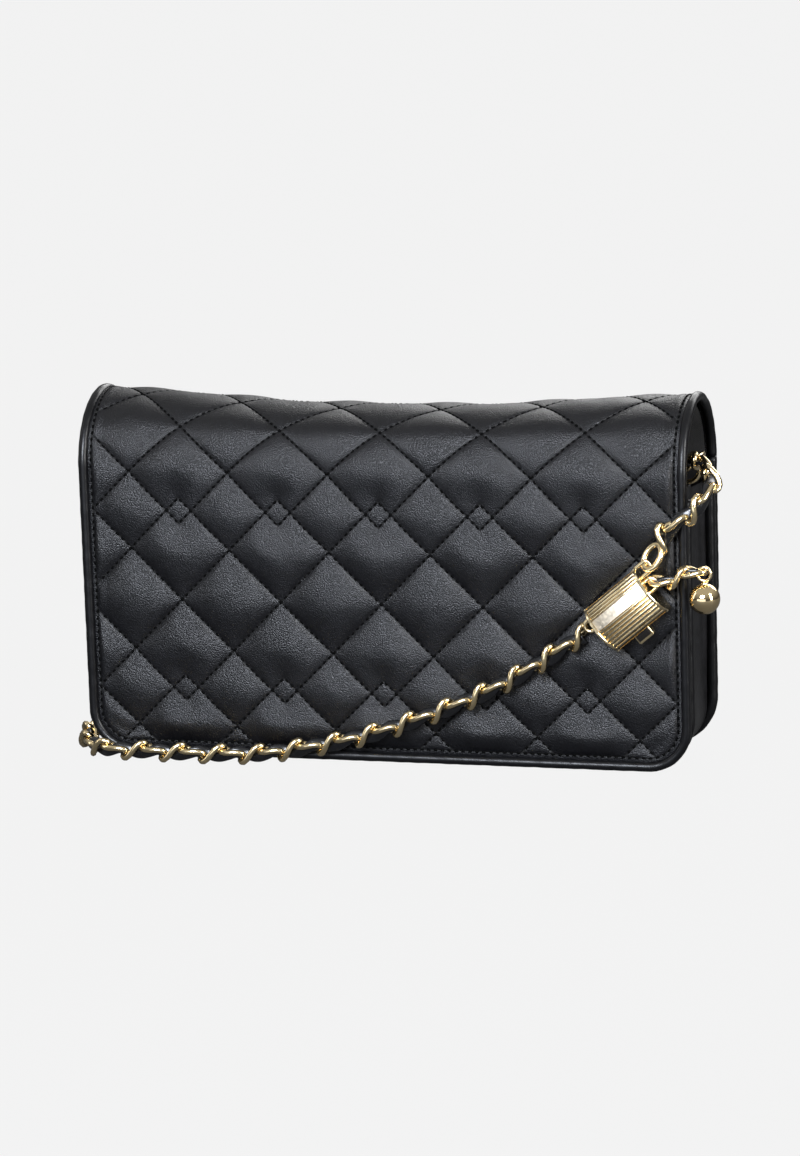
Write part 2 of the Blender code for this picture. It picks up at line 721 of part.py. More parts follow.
def lock_slice(name, outline, start, end, frame):
    """A length of the lock's section between two places along it."""
    bm = bmesh.new()
    face = bm.faces.new([bm.verts.new((start, -height, -across)) for across, height in outline])
    moved = bmesh.ops.extrude_face_region(bm, geom=[face])["geom"]
    corners = [v for v in moved if isinstance(v, bmesh.types.BMVert)]
    bmesh.ops.translate(bm, verts=corners, vec=(end - start, 0, 0))
    made = from_bmesh(name, bm, gold)
    made.parent = frame
    return made


def box(name, size, centre, finish, frame, collection=COLLECTION):
    bm = bmesh.new()
    bmesh.ops.create_cube(bm, size=1, matrix=Matrix.Diagonal((*size, 1)))
    made = from_bmesh(name, bm, finish, collection)
    made.location = centre
    made.parent = frame
    return made


def lock_button(frame, barrel):
    """The push button on the lock's lower side and the slot that it slides in."""
    height = LOCK_SIDE_DEPTH / 2
    side = LOCK_WIDTH / 2
    slot = box(
        "button_slot",
        (
            BUTTON_LENGTH + 2 * BUTTON_CLEARANCE,
            BUTTON_HEIGHT + 2 * BUTTON_CLEARANCE,
            2 * BUTTON_SLOT_DEPTH,
        ),
        (BUTTON_OFFSET, -height, -side),
        None,
        frame,
        CUTTERS,
    )
    slot.hide_render = True
    slot.display_type = "WIRE"
    cut = barrel.modifiers.new("Slot", "BOOLEAN")
    cut.operation = "DIFFERENCE"
    cut.solver = "EXACT"
    cut.object = slot
    length = BUTTON_OUT + BUTTON_IN
    centre = side + (BUTTON_OUT - BUTTON_IN) / 2
    size = (BUTTON_LENGTH, BUTTON_HEIGHT, length)
    box("lock_button", size, (BUTTON_OFFSET, -height, -centre), gold, frame)


def wire_loop(name, frame, start, across, half_width, reach, square):
    """A bent wire that stands out of an end of the lock, round or squared at its tip."""
    direction = 1 if start > 0 else -1
    height = LOCK_DEPTH / 2
    if square:
        corner = half_width / 3
        steps = [(0, -half_width), (reach - corner, -half_width), (reach, -half_width + corner)]
        steps += [(x, -z) for x, z in reversed(steps)]
    else:
        steps = [(0, -half_width)]
        for k in range(EYE_STEPS + 1):
            turn = -math.pi / 2 + math.pi * k / EYE_STEPS
            steps.append((reach - half_width + half_width * math.cos(turn), half_width * math.sin(turn)))
        steps.append((0, half_width))
    points = [(start + direction * x, -height, -(across + z)) for x, z in steps]
    made = tube(name, points, LOOP_WIRE, gold, 1)
    made.parent = frame
    return made


def lock():
    frame = lock_frame()
    half = LOCK_LENGTH / 2
    barrel = lock_slice("lock_barrel", lock_outline(True), -half, half, frame)
    lock_button(frame, barrel)
    plain = lock_outline(False, LOCK_END_LIP)
    near = half + TOUCH
    far = near + LOCK_END_PLATE
    lock_slice("lock_end_plate_upper", plain, near, far, frame)
    lock_slice("lock_end_plate_lower", plain, -far, -near, frame)
    face = far + TOUCH
    wire_loop("lock_bail", frame, face, -BAIL_OFFSET, BAIL_HALF_WIDTH, BAIL_REACH, True)
    wire_loop("lock_tail_eye", frame, face, -EYE_OFFSET, EYE_RADIUS, EYE_REACH, False)
    wire_loop("lock_strap_eye", frame, -face, -STRAP_EYE_OFFSET, EYE_RADIUS, EYE_REACH, False)


def lock_point(along, across):
    """A place on the lock's middle layer, in world coordinates."""
    x = LOCK_X + along * math.cos(LOCK_TILT) + across * math.sin(LOCK_TILT)
    z = LOCK_Z + along * math.sin(LOCK_TILT) - across * math.cos(LOCK_TILT)
    return Vector((x, -(ARCH_RADIUS + TOUCH + LOCK_DEPTH / 2), z))


def link_points():
    """One oval link in its own XY plane, its long side along X."""
    half_length = LINK_LENGTH / 2 - LINK_WIRE
    half_width = LINK_WIDTH / 2 - LINK_WIRE
    turns = [2 * math.pi * (k + 0.5) / LINK_STEPS for k in range(LINK_STEPS)]
    straight = half_length - half_width
    points = []
    for turn in turns:
        x = half_width * math.cos(turn) + math.copysign(straight, math.cos(turn))
        points.append((x, half_width * math.sin(turn), 0))
    return points


def tail():
    """Three links from the lock's upper end out past the flap's edge, and the ball that hangs there."""
    face = LOCK_LENGTH / 2 + 2 * TOUCH + LOCK_END_PLATE
    start = lock_point(face + EYE_REACH - EYE_RADIUS, -EYE_OFFSET)
    direction = Vector((math.cos(TAIL_TILT), 0, math.sin(TAIL_TILT)))
    half_length = LINK_LENGTH / 2 - LINK_WIRE
    pitch = 2 * half_length - 2 * LINK_WIRE - TOUCH
    for k in range(TAIL_LINKS):
        link = tube(f"tail_link_{k + 1}", link_points(), LINK_WIRE, gold, 1, closed=True)
        link.location = start + direction * (half_length + k * pitch)
        link.rotation_euler = (math.pi / 2 * (k % 2), -TAIL_TILT, 0)
    pivot = start + direction * (2 * half_length + (TAIL_LINKS - 1) * pitch)
    loop_centre = -BALL_SLACK
    turns = [2 * math.pi * k / LINK_STEPS for k in range(LINK_STEPS)]
    points = [
        (BALL_LOOP_RADIUS * math.cos(a), 0, loop_centre + BALL_LOOP_RADIUS * math.sin(a))
        for a in turns
    ]
    loop = tube("tail_ball_loop", points, BALL_LOOP_WIRE, gold, 1, closed=True)
    loop.location = pivot
    bm = bmesh.new()
    bmesh.ops.create_uvsphere(bm, u_segments=BALL_STEPS, v_segments=BALL_RINGS, radius=BALL_RADIUS)
    drop = BALL_SLACK + BALL_LOOP_RADIUS + BALL_LOOP_WIRE + TOUCH + BALL_RADIUS
    bmesh.ops.translate(bm, verts=bm.verts, vec=(0, 0, -drop))
    from_bmesh("tail_ball", bm, gold).location = pivot
    print("ball pivot (mm):", [round(1000 * v, 2) for v in pivot])


def coil_points():
    """A flat coil that winds in along the floor and out again one layer up."""
    count = round(COIL_TURNS * LOOP_POINTS)
    centre_y = ARCH_RADIUS + COIL_BEHIND_BAG + COIL_RADIUS
    points = []
    for k in range(count + 1):
        turn = k / LOOP_POINTS
        inward = min(turn, COIL_TURNS - turn)
        radius = COIL_RADIUS - COIL_PITCH * inward
        climb = (turn - (COIL_TURNS - COIL_CLIMB_TURNS) / 2) / COIL_CLIMB_TURNS
        climb = min(1, max(0, climb))
        height = STRAP_LIFT + COIL_LAYER * (3 * climb**2 - 2 * climb**3)
        angle = -math.pi / 2 + 2 * math.pi * turn
        points.append(
            (COIL_X + radius * math.cos(angle), centre_y + radius * math.sin(angle), height)
        )
    first = np.array(points[0]) - [STRAP_DIAMETER, 0, 0]
    last = np.array(points[-1]) - [STRAP_DIAMETER, 0, 0]
    return [tuple(first)] + points + [tuple(last)]


def least_gap(points):
    """The least room between the coil's loops, measured on its points."""
    p = np.array(points)
    away = np.linalg.norm(p[:, None] - p[None], axis=2)
    index = np.arange(len(p))
    near = np.abs(index[:, None] - index[None]) < LOOP_POINTS // 3
    return away[~near].min() - STRAP_DIAMETER


def strap():
    radius = STRAP_DIAMETER / 2
    spacing = STRAP_POINT_SHARE * STRAP_DIAMETER
    coil = coil_points()
    tube("strap_coil", coil, radius, leather, 1)
    print("least gap in the coil (mm):", round(1000 * least_gap(coil), 2))
    tube("strap_upper", smooth_points(UPPER_ROUTE, spacing / 3), radius, leather)
    tube("strap_front", smooth_points(FRONT_ROUTE, spacing), radius, leather)
    tube("strap_rear", smooth_points(REAR_ROUTE, spacing), radius, leather)


def main():
    clear_scene()
    flap()
    rear_flap()
    body_walls()
    gusset()
    body_piping()
    lining_bag()
    inside_pieces()
    bindings()
    magnetic_snap()
    side_rings()
    lock()
    tail()
    strap()


main()
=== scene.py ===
# %% [markdown]
# # A quilted clutch bag with a woven chain strap
#
# The bag is a small flat clutch. One sheet of padded black leather runs up the front, over the
# rounded top and part of the way down the back, and it is both the flap and the bag's face.
# A chain of gold links with a leather strip woven through it crosses the front from a fluted
# sliding lock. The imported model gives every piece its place. This script gives each piece the
# shape and the finish of the real one.

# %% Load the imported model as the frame
import math

import bpy
import numpy as np
from mathutils import Matrix, Vector


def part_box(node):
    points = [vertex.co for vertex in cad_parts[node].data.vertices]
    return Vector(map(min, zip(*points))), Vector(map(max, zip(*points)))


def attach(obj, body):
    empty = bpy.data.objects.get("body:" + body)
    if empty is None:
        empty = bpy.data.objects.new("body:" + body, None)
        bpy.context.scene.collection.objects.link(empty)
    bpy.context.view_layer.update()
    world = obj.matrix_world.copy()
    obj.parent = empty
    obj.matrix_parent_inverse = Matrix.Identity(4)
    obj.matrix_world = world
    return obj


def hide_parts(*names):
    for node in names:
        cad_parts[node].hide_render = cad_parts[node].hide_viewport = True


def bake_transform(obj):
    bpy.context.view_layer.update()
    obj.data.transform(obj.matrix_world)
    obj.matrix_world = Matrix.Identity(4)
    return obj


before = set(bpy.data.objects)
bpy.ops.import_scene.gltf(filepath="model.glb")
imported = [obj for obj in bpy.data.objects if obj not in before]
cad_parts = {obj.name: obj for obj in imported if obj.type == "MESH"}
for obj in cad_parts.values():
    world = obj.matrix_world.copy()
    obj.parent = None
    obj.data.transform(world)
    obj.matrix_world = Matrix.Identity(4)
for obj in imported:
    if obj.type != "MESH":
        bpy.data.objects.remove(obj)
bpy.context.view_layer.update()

# %% [markdown]
# ## Sizes of the bag
#
# These are the sizes the frame was built with, in metres. The flap is a saddle: flat at the
# front and the back, with a half round over the top. A place on it is given by x, across the
# bag, and by the distance along the sheet from the floor up the front, over and down the back.

# %% Sizes shared by the pieces
MM = 0.001
ARCH_RADIUS = 0.026
BAG_HEIGHT = 0.130
ARCH_Z = BAG_HEIGHT - ARCH_RADIUS
ARCH_LENGTH = math.pi * ARCH_RADIUS
PANEL_HALF_WIDTH = 0.1063
PANEL_BOTTOM = 0.0052
PIPING_X = 0.1083
PIPING_RADIUS = 0.0017
PIPING_MIDDLE = 0.0249
PIPING_BOTTOM = 0.0032
FLAP_CORNER = 0.0155
HINGE_ALONG = ARCH_Z + ARCH_LENGTH
REAR_FLAP_BOTTOM = 0.0430
REAR_END = HINGE_ALONG + ARCH_Z - REAR_FLAP_BOTTOM - 2 * PIPING_RADIUS - 0.3 * MM
BODY_HALF_WIDTH = 0.1060
BODY_CORNER = 0.0150
FRONT_WALL_TOP = 0.0960
BACK_PANEL_TOP = 0.1005
print("distance along the sheet to the hinge, mm:", round(HINGE_ALONG * 1000, 1))

# %% [markdown]
# ## Colours and shader nodes
#
# Screen colours are written as hex codes, but a renderer adds up light, so each code is turned
# to linear light once. One small function adds any shader node, sets its values and links it.

# %% Helpers for materials
def linear(code):
    """An sRGB hex colour as linear red, green, blue and alpha: the standard sRGB curve."""
    parts = [int(code[i : i + 2], 16) / 255 for i in (1, 3, 5)]
    curve = [c / 12.92 if c <= 0.04045 else ((c + 0.055) / 1.055) ** 2.4 for c in parts]
    return (*curve, 1.0)


def add_node(tree, kind, links=None, **values):
    """Adds a shader node. Values are its settings; links are its sockets by name or number, each
    given a number, a colour or another node's output."""
    made = tree.nodes.new("ShaderNode" + kind)
    for key, value in values.items():
        setattr(made, key, value)
    for key, value in (links or {}).items():
        socket = made.inputs[key]
        if isinstance(value, bpy.types.NodeSocket):
            tree.links.new(value, socket)
        else:
            socket.default_value = value
    return made


def new_material(name):
    """An empty node material and its shader."""
    made = bpy.data.materials.new(name)
    made.use_nodes = True
    return made, made.node_tree, made.node_tree.nodes["Principled BSDF"]


print("black leather in linear light:", [round(v, 4) for v in linear("#1a1a1c")[:3]])

# %% [markdown]
# ## Surfaces from arrays
#
# Every new piece is a grid of points: one parameter runs along it and the other across it.
# The points are worked out as whole arrays, and each grid cell becomes one four-sided face.
# A tube is the same grid with its cross direction closed into a ring.

# %% Helpers for meshes
def grid_faces(rows, columns, ring_rows=False, ring_columns=False):
    """The corner numbers of each cell of a grid whose points are counted row by row."""
    index = np.arange(rows * columns).reshape(rows, columns)
    if ring_rows:
        index = np.vstack([index, index[:1]])
    if ring_columns:
        index = np.hstack([index, index[:, :1]])
    corners = (index[:-1, :-1], index[:-1, 1:], index[1:, 1:], index[1:, :-1])
    return np.stack(corners, axis=-1).reshape(-1, 4)


def make_mesh(name, points, faces, finish, facing=None, slots=None):
    """A mesh object from arrays. A closed shape has its volume measured, and is turned inside
    out if that is negative. An open one says with facing whether to turn its faces. With more
    than one finish, slots gives each face the number of its own."""
    points = np.asarray(points, float).reshape(-1, 3)
    faces = np.asarray(faces)
    if facing is None:
        a, b, c, d = (points[faces[:, k]] for k in range(4))
        volume = np.sum(np.cross(b - a, c - a) * a) + np.sum(np.cross(c - a, d - a) * a)
        if volume < 0:
            faces = faces[:, ::-1]
    elif facing < 0:
        faces = faces[:, ::-1]
    data = bpy.data.meshes.new(name)
    data.vertices.add(len(points))
    data.vertices.foreach_set("co", points.astype(np.float32).ravel())
    data.loops.add(faces.size)
    data.loops.foreach_set("vertex_index", faces.astype(np.int32).ravel())
    data.polygons.add(len(faces))
    data.polygons.foreach_set("loop_start", np.arange(0, faces.size, 4, dtype=np.int32))
    data.update(calc_edges=True)
    data.validate()
    data.polygons.foreach_set("use_smooth", np.ones(len(data.polygons), bool))
    for one in finish if isinstance(finish, (list, tuple)) else [finish]:
        data.materials.append(one)
    if slots is not None and len(slots) == len(data.polygons):
        data.polygons.foreach_set("material_index", slots.astype(np.int32))
    made = bpy.data.objects.new(name, data)
    bpy.context.scene.collection.objects.link(made)
    return made


def seat(piece, body, slot, *nodes):
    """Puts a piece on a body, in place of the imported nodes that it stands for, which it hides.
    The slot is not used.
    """
    if nodes:
        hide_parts(*nodes)
    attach(piece, body)
    return piece


print("one square cell joins the points", grid_faces(2, 2).tolist())

# %% Helpers for paths
def unit(vectors):
    """Vectors of length one in the same directions."""
    return vectors / np.maximum(np.linalg.norm(vectors, axis=-1, keepdims=True), 1e-12)


def lengths(path):
    """The distance along a path to each of its points."""
    run = np.linalg.norm(np.diff(path, axis=0), axis=1)
    return np.concatenate([[0], np.cumsum(run)])


def read_at(places, run, values):
    """Each column of values, read off at places along a run."""
    return np.stack([np.interp(places, run, column) for column in values.T], axis=1)


def directions(path, closed=False):
    """The direction of travel at each point, from the point before to the point after."""
    if closed:
        return unit(np.roll(path, -1, axis=0) - np.roll(path, 1, axis=0))
    return unit(np.gradient(path, axis=0))


def across(path, towards, closed=False):
    """Two directions across a path at each point: the wanted one, made square to the path, and
    the one square to both."""
    ahead = directions(path, closed)
    towards = np.broadcast_to(np.asarray(towards, float), path.shape)
    first = unit(towards - np.sum(towards * ahead, axis=1, keepdims=True) * ahead)
    return ahead, first, np.cross(ahead, first)


print("a test path of three corners is, m:", round(float(lengths(np.eye(3))[-1]), 3))

# %% Helpers for tubes and skins
def around(steps):
    """Angles evenly round a circle."""
    return np.arange(steps) * 2 * math.pi / steps


def tube_points(path, radius, towards, sides, closed=False):
    """A ring of points round each point of a path: the path plus a circle of that radius laid
    out on the two directions across it. The radius may differ from point to point."""
    _, first, second = across(path, towards, closed)
    turn = around(sides)
    radius = np.broadcast_to(np.asarray(radius, float), (len(path),))[:, None, None]
    ring = first[:, None] * np.cos(turn)[:, None] + second[:, None] * np.sin(turn)[:, None]
    return path[:, None] + radius * ring


def drawn_in(rings):
    """The rings, and one more at each end whose points all lie in the end ring's middle."""
    ends = [np.repeat(rings[k].mean(axis=0)[None, None], rings.shape[1], axis=1) for k in (0, -1)]
    return np.concatenate([ends[0], rings, ends[1]])


def lofted(name, rings, finish, **settings):
    """One closed skin over rings of points, each joined to the next."""
    rings = np.asarray(rings)
    faces = grid_faces(len(rings), rings.shape[1], ring_columns=True)
    return make_mesh(name, rings, faces, finish, **settings)


def tube(name, path, radius, towards, sides, finish, closed=False):
    """A round tube along a path. An open one is drawn in to a point at each end."""
    points = tube_points(path, radius, towards, sides, closed)
    if not closed:
        return lofted(name, drawn_in(points), finish)
    faces = grid_faces(len(points), sides, ring_rows=True, ring_columns=True)
    return make_mesh(name, points, faces, finish)


print("a 3 mm test tube has", tube_points(np.eye(3), 0.0015, (0, 0, 1), 8).shape, "points")
# %% [markdown]
# ## Black calfskin
#
# The bag's face is calfskin: chrome-tanned, dyed through, with a thin pigmented finish. It is
# nearly black, and what the eye reads as grey on the pillows is soft shine broken up by a fine
# pebble grain. A Voronoi pattern gives the pebbles, at their real size of about 0.4 mm, and noise
# gives the slower unevenness. The pattern's value grows away from each pebble's middle, so the
# bump is inverted and the pebbles stand up. The quilted sheets carry the distance in millimetres
# to the nearest stitch, which sinks and dulls the leather in the groove and darkens its colour
# there to near black as painted shade.

# %% The leather materials
def leather(name, colour, worn, roughness, pebble, depth, seam=False, coat=0.0, specular=0.4):
    """Dyed leather: its colour and its roughness wander with slow noise, under pebbles of one
    size and depth. With seam, the groove along the stitches is drawn from their distance: a bump
    sinks it, its roughness rises, and painted shade darkens its colour to near black."""
    made, tree, shader = new_material(name)
    place = add_node(tree, "TexCoord").outputs["Object"]
    cells = add_node(tree, "TexVoronoi", {"Vector": place, "Scale": 1 / pebble}, feature="F1")
    patches = {"Vector": place, "Scale": 1 / (3 * MM), "Detail": 4}
    slow = add_node(tree, "TexNoise", patches).outputs["Fac"]
    uneven = {0: slow, 1: 0.06, 2: cells.outputs["Distance"]}
    height = add_node(tree, "Math", uneven, operation="MULTIPLY_ADD").outputs[0]
    raised = {"Height": height, "Strength": 0.8, "Distance": depth}
    grain = add_node(tree, "Bump", raised, invert=True)
    share = add_node(tree, "MapRange", {0: slow, 1: 0.3, 2: 0.7, 3: 0.0, 4: 1.0}).outputs[0]
    shades = {0: share, 6: linear(colour), 7: linear(worn)}
    tint = add_node(tree, "Mix", shades, data_type="RGBA").outputs[2]
    spread = {0: slow, 1: 0.3, 2: 0.7, 3: roughness, 4: roughness + 0.05}
    dull = add_node(tree, "MapRange", spread).outputs[0]
    if seam:
        away = add_node(tree, "Attribute", attribute_name="stitch_distance").outputs["Fac"]
        near, crease = (
            add_node(
                tree, "MapRange", {0: away, 1: low, 2: high, 3: to_low, 4: to_high},
                interpolation_type="SMOOTHSTEP",
            ).outputs[0]
            for low, high, to_low, to_high in ((0.12, 0.58, 0.95, 0.0), (0.0, 0.5, 0.0, 1.0))
        )
        sunk = {"Height": crease, "Strength": 1.0, "Distance": 0.25 * MM}
        groove = add_node(tree, "Bump", sunk).outputs["Normal"]
        tree.links.new(groove, grain.inputs["Normal"])
        # Painted shade in the groove: near the stitches the colour is mixed towards near black.
        painted_groove_shade = {0: near, 6: tint, 7: linear("#020202")}
        tint = add_node(tree, "Mix", painted_groove_shade, data_type="RGBA").outputs[2]
        duller = {0: near, 1: 0.45, 2: dull}
        dull = add_node(tree, "Math", duller, operation="MULTIPLY_ADD").outputs[0]
    tree.links.new(tint, shader.inputs["Base Color"])
    tree.links.new(dull, shader.inputs["Roughness"])
    tree.links.new(grain.outputs["Normal"], shader.inputs["Normal"])
    shader.inputs["Specular IOR Level"].default_value = specular
    shader.inputs["Coat Weight"].default_value = coat
    shader.inputs["Coat Roughness"].default_value = 0.25
    return made


QUILT_LEATHER = leather(
    "quilted_calfskin_black", "#070709", "#0b0b0e", 0.34, 0.44 * MM, 0.20 * MM, seam=True
)
TRIM_LEATHER = leather(
    "rolled_calfskin_black", "#080809", "#0c0c0e", 0.30, 0.6 * MM, 0.03 * MM, specular=0.3
)
GUSSET_LEATHER = leather(
    "soft_calfskin_black_matt", "#121213", "#19191b", 0.46, 0.7 * MM, 0.08 * MM
)
STRAP_LEATHER = leather(
    "glazed_calfskin_strip_black", "#0b0b0c", "#111113", 0.22, 0.5 * MM, 0.03 * MM, coat=0.4
)
print("leathers:", [m.name for m in (QUILT_LEATHER, TRIM_LEATHER, GUSSET_LEATHER, STRAP_LEATHER)])

# %% [markdown]
# ## Gold plating, thread and lining cloth
#
# The links, lock and ball are brass, polished and plated with pale gold. A metal's colour is the
# colour of its mirror image, so the base colour does all the work, with a little unevenness in
# the polish. The lock's flat band has a satin finish, so it is much rougher than the rest, and its
# colour is paler and whiter than the rest as a painted highlight for its bright shine. The
# thread is waxed polyester. The lining is a black twill with fine slanting ribs 0.5 mm apart.

# %% The metal, thread and cloth materials
def plated(name, colour, deep, roughness, wave, metallic=1.0):
    """Plated metal: polish that wanders from place to place, over faint waves of the casting."""
    made, tree, shader = new_material(name)
    place = add_node(tree, "TexCoord").outputs["Object"]
    slow, fine = (
        add_node(
            tree, "TexNoise", {"Vector": place, "Scale": 1 / size, "Detail": detail}
        ).outputs["Fac"]
        for size, detail in ((4 * MM, 3), (0.9 * MM, 2))
    )
    spread = {0: fine, 1: 0.3, 2: 0.7, 3: roughness * 0.7, 4: roughness * 1.4}
    dull = add_node(tree, "MapRange", spread).outputs[0]
    raised = {"Height": slow, "Strength": 0.1, "Distance": wave}
    waves = add_node(tree, "Bump", raised).outputs["Normal"]
    shades = {0: slow, 6: linear(colour), 7: linear(deep)}
    tint = add_node(tree, "Mix", shades, data_type="RGBA").outputs[2]
    tree.links.new(tint, shader.inputs["Base Color"])
    tree.links.new(dull, shader.inputs["Roughness"])
    tree.links.new(waves, shader.inputs["Normal"])
    shader.inputs["Metallic"].default_value = metallic
    return made


def twill(name, colour, light, spacing):
    """Twill cloth: slanting ribs as sine waves, crossed by finer threads."""
    made, tree, shader = new_material(name)
    place = add_node(tree, "TexCoord").outputs["Object"]
    slant = {"Vector": place, "Rotation": (0, math.radians(35), 0)}
    slanted = add_node(tree, "Mapping", slant).outputs[0]
    ribs, threads = (
        add_node(
            tree, "TexWave", {"Vector": slanted, "Scale": finer / (math.pi * spacing)},
            bands_direction=way,
        ).outputs["Fac"]
        for finer, way in ((1, "X"), (2, "Z"))
    )
    crossed = {0: threads, 1: 0.4, 2: ribs}
    height = add_node(tree, "Math", crossed, operation="MULTIPLY_ADD").outputs[0]
    raised = {"Height": height, "Strength": 0.6, "Distance": 0.1 * MM}
    weave = add_node(tree, "Bump", raised).outputs["Normal"]
    patches = {"Vector": place, "Scale": 1 / (9 * MM), "Detail": 3}
    slow = add_node(tree, "TexNoise", patches).outputs["Fac"]
    shades = {0: slow, 6: linear(colour), 7: linear(light)}
    tint = add_node(tree, "Mix", shades, data_type="RGBA").outputs[2]
    tree.links.new(tint, shader.inputs["Base Color"])
    tree.links.new(weave, shader.inputs["Normal"])
    shader.inputs["Roughness"].default_value = 0.75
    shader.inputs["Sheen Weight"].default_value = 0.25
    shader.inputs["Sheen Roughness"].default_value = 0.5
    return made


GOLD = plated("pale_gold_plated_brass_polished", "#f6e2b8", "#eed6a4", 0.16, 0.03 * MM)
PALE_GOLD = plated("pale_gold_plated_brass_cast", "#ecdcbb", "#e3cfa3", 0.20, 0.02 * MM)
MIRROR_GOLD = plated("pale_gold_plated_brass_mirror", "#f4dfb4", "#ecd09c", 0.07, 0.01 * MM)
# Painted highlight: the satin band's gold is paler and whiter than the cast gold, standing in for
# its bright shine.
SATIN_HIGHLIGHT_GOLD = plated("pale_gold_satin_with_painted_highlight", "#f0e6d4", "#ebdcc0", 0.42, 0.0)
ENAMEL = plated("black_enamel_inlay", "#0a0806", "#100c08", 0.08, 0.01 * MM, metallic=0.0)
THREAD = leather(
    "waxed_polyester_thread_black", "#020202", "#040404", 0.75, 0.4 * MM, 0.03 * MM, specular=0.05
)
LINING = twill("black_twill_lining", "#151516", "#1e1e20", 0.5 * MM)
METALS = (GOLD, PALE_GOLD, MIRROR_GOLD, SATIN_HIGHLIGHT_GOLD)
print("other materials:", [m.name for m in (*METALS, ENAMEL, THREAD, LINING)])

# %% [markdown]
# ## Camera, floor and light
#
# The camera's place was worked out from the crossings of the quilting: it stands 1.5 m away,
# a little to the right and a little above, and is turned a hair out of level. The floor is plain
# and pale. Rays that come straight from the camera see it as an even light grey, and all other
# light falls on it as on real paper, so the bag keeps its shadow. The light is that of a product
# photograph: the key lamp stands high in front, a low card in front fills the leather from
# below, a large lamp behind gives the crest its shine, and tall narrow lamps at the sides draw
# the highlights along the piping and the metal. Mirror images show a share of the pale room.

# %% The camera
AZIMUTH = math.radians(16.32)
ELEVATION = math.radians(11.54)
ROLL = math.radians(-1.85)
DISTANCE = 1.5
FOCAL_PIXELS = 4229
IMAGE_HEIGHT = 1156
TARGET = Vector((0, 0, 0.0624))

back = Vector(
    (
        math.sin(AZIMUTH) * math.cos(ELEVATION),
        -math.cos(AZIMUTH) * math.cos(ELEVATION),
        math.sin(ELEVATION),
    )
)
right = Vector((math.cos(AZIMUTH), math.sin(AZIMUTH), 0))
up = back.cross(right)
turned_right = right * math.cos(ROLL) + up * math.sin(ROLL)
turned_up = up * math.cos(ROLL) - right * math.sin(ROLL)
lens = bpy.data.cameras.new("camera")
lens.sensor_fit = "VERTICAL"
lens.sensor_height = 24
lens.lens = FOCAL_PIXELS / IMAGE_HEIGHT * lens.sensor_height
lens.clip_start = 0.05
camera = bpy.data.objects.new("camera", lens)
bpy.context.scene.collection.objects.link(camera)
turn = Matrix((turned_right, turned_up, back)).transposed().to_4x4()
camera.matrix_world = Matrix.Translation(TARGET + back * DISTANCE) @ turn
bpy.context.scene.camera = camera
print("lens, mm:", round(lens.lens, 1))

# %% The floor and the room
PAPER = "#f2f2f2"


def seen_as(name, colour, shown, share, glossy):
    """A plain surface that the camera sees mostly as one even colour, while it lights and
    shades the object as plain paper would. Mirror images show a share of that colour too."""
    made, tree, shader = new_material(name)
    shader.inputs["Base Color"].default_value = linear(colour)
    shader.inputs["Roughness"].default_value = 0.9
    even = add_node(tree, "Emission", {"Color": linear(shown), "Strength": 1.0})
    ray = add_node(tree, "LightPath").outputs
    direct = {0: ray["Is Camera Ray"], 1: share, 2: 0.0}
    direct = add_node(tree, "Math", direct, operation="MULTIPLY_ADD").outputs[0]
    both = {0: ray["Is Glossy Ray"], 1: glossy, 2: direct}
    both = add_node(tree, "Math", both, operation="MULTIPLY_ADD").outputs[0]
    mix = add_node(tree, "MixShader", {0: both, 1: shader.outputs[0], 2: even.outputs[0]})
    tree.links.new(mix.outputs[0], tree.nodes["Material Output"].inputs["Surface"])
    return made


FLOOR_HALF = 6.0
corners = np.array([[-1, -1, 0], [1, -1, 0], [-1, 1, 0], [1, 1, 0]]) * FLOOR_HALF
pale_paper = seen_as("pale_paper", "#484848", "#f6f6f6", 0.96, 0.02)
floor = make_mesh("floor", corners, grid_faces(2, 2), pale_paper, facing=1)

room = bpy.data.worlds.new("studio")
bpy.context.scene.world = room
room.use_nodes = True
walls = room.node_tree
ray = add_node(walls, "LightPath").outputs
away = add_node(walls, "TexCoord").outputs["Generated"]
height = add_node(walls, "SeparateXYZ", {0: away}).outputs["Z"]
brighter = add_node(walls, "MapRange", {0: height, 1: 0.0, 2: 0.7, 3: 0.06, 4: 0.52}).outputs[0]
seen = {0: ray["Is Glossy Ray"], 1: brighter, 2: ray["Is Camera Ray"]}
shown = add_node(walls, "Math", seen, operation="MULTIPLY_ADD").outputs[0]
shades = {0: shown, 6: linear("#1f2023"), 7: linear(PAPER)}
pale = add_node(walls, "Mix", shades, data_type="RGBA").outputs[2]
sky = walls.nodes["Background"]
walls.links.new(pale, sky.inputs["Color"])
sky.inputs["Strength"].default_value = 1.0
bpy.context.scene.view_settings.view_transform = "Standard"
print("floor, m across:", 2 * FLOOR_HALF, "and a room named", room.name)


# %% The lamps
def softbox(name, place, target, width, height, watts, colour="#ffffff"):
    """A rectangular lamp that faces a point."""
    data = bpy.data.lights.new(name, "AREA")
    data.shape = "RECTANGLE"
    data.size, data.size_y = width, height
    data.energy = watts
    data.color = linear(colour)[:3]
    made = bpy.data.objects.new(name, data)
    bpy.context.scene.collection.objects.link(made)
    away = (Vector(place) - Vector(target)).to_track_quat("Z", "Y")
    made.matrix_world = Matrix.Translation(place) @ away.to_matrix().to_4x4()
    made.visible_camera = False


MIDDLE = (0, 0, 0.07)
COOL = "#eef4ff"
softbox("key_softbox", (0.0, -1.0, 0.54), MIDDLE, 0.50, 0.36, 20, COOL)
softbox("low_front_card", (-0.02, -0.45, 0.064), (-0.02, 0, 0.064), 0.56, 0.122, 0.35, COOL)
softbox("back_softbox", (0.2, 0.92, 0.60), MIDDLE, 1.0, 0.45, 7)
softbox("right_softbox", (1.0, -0.45, 0.45), MIDDLE, 0.25, 0.8, 14)
softbox("left_softbox", (-1.0, -0.25, 0.45), MIDDLE, 0.25, 0.8, 1.2)
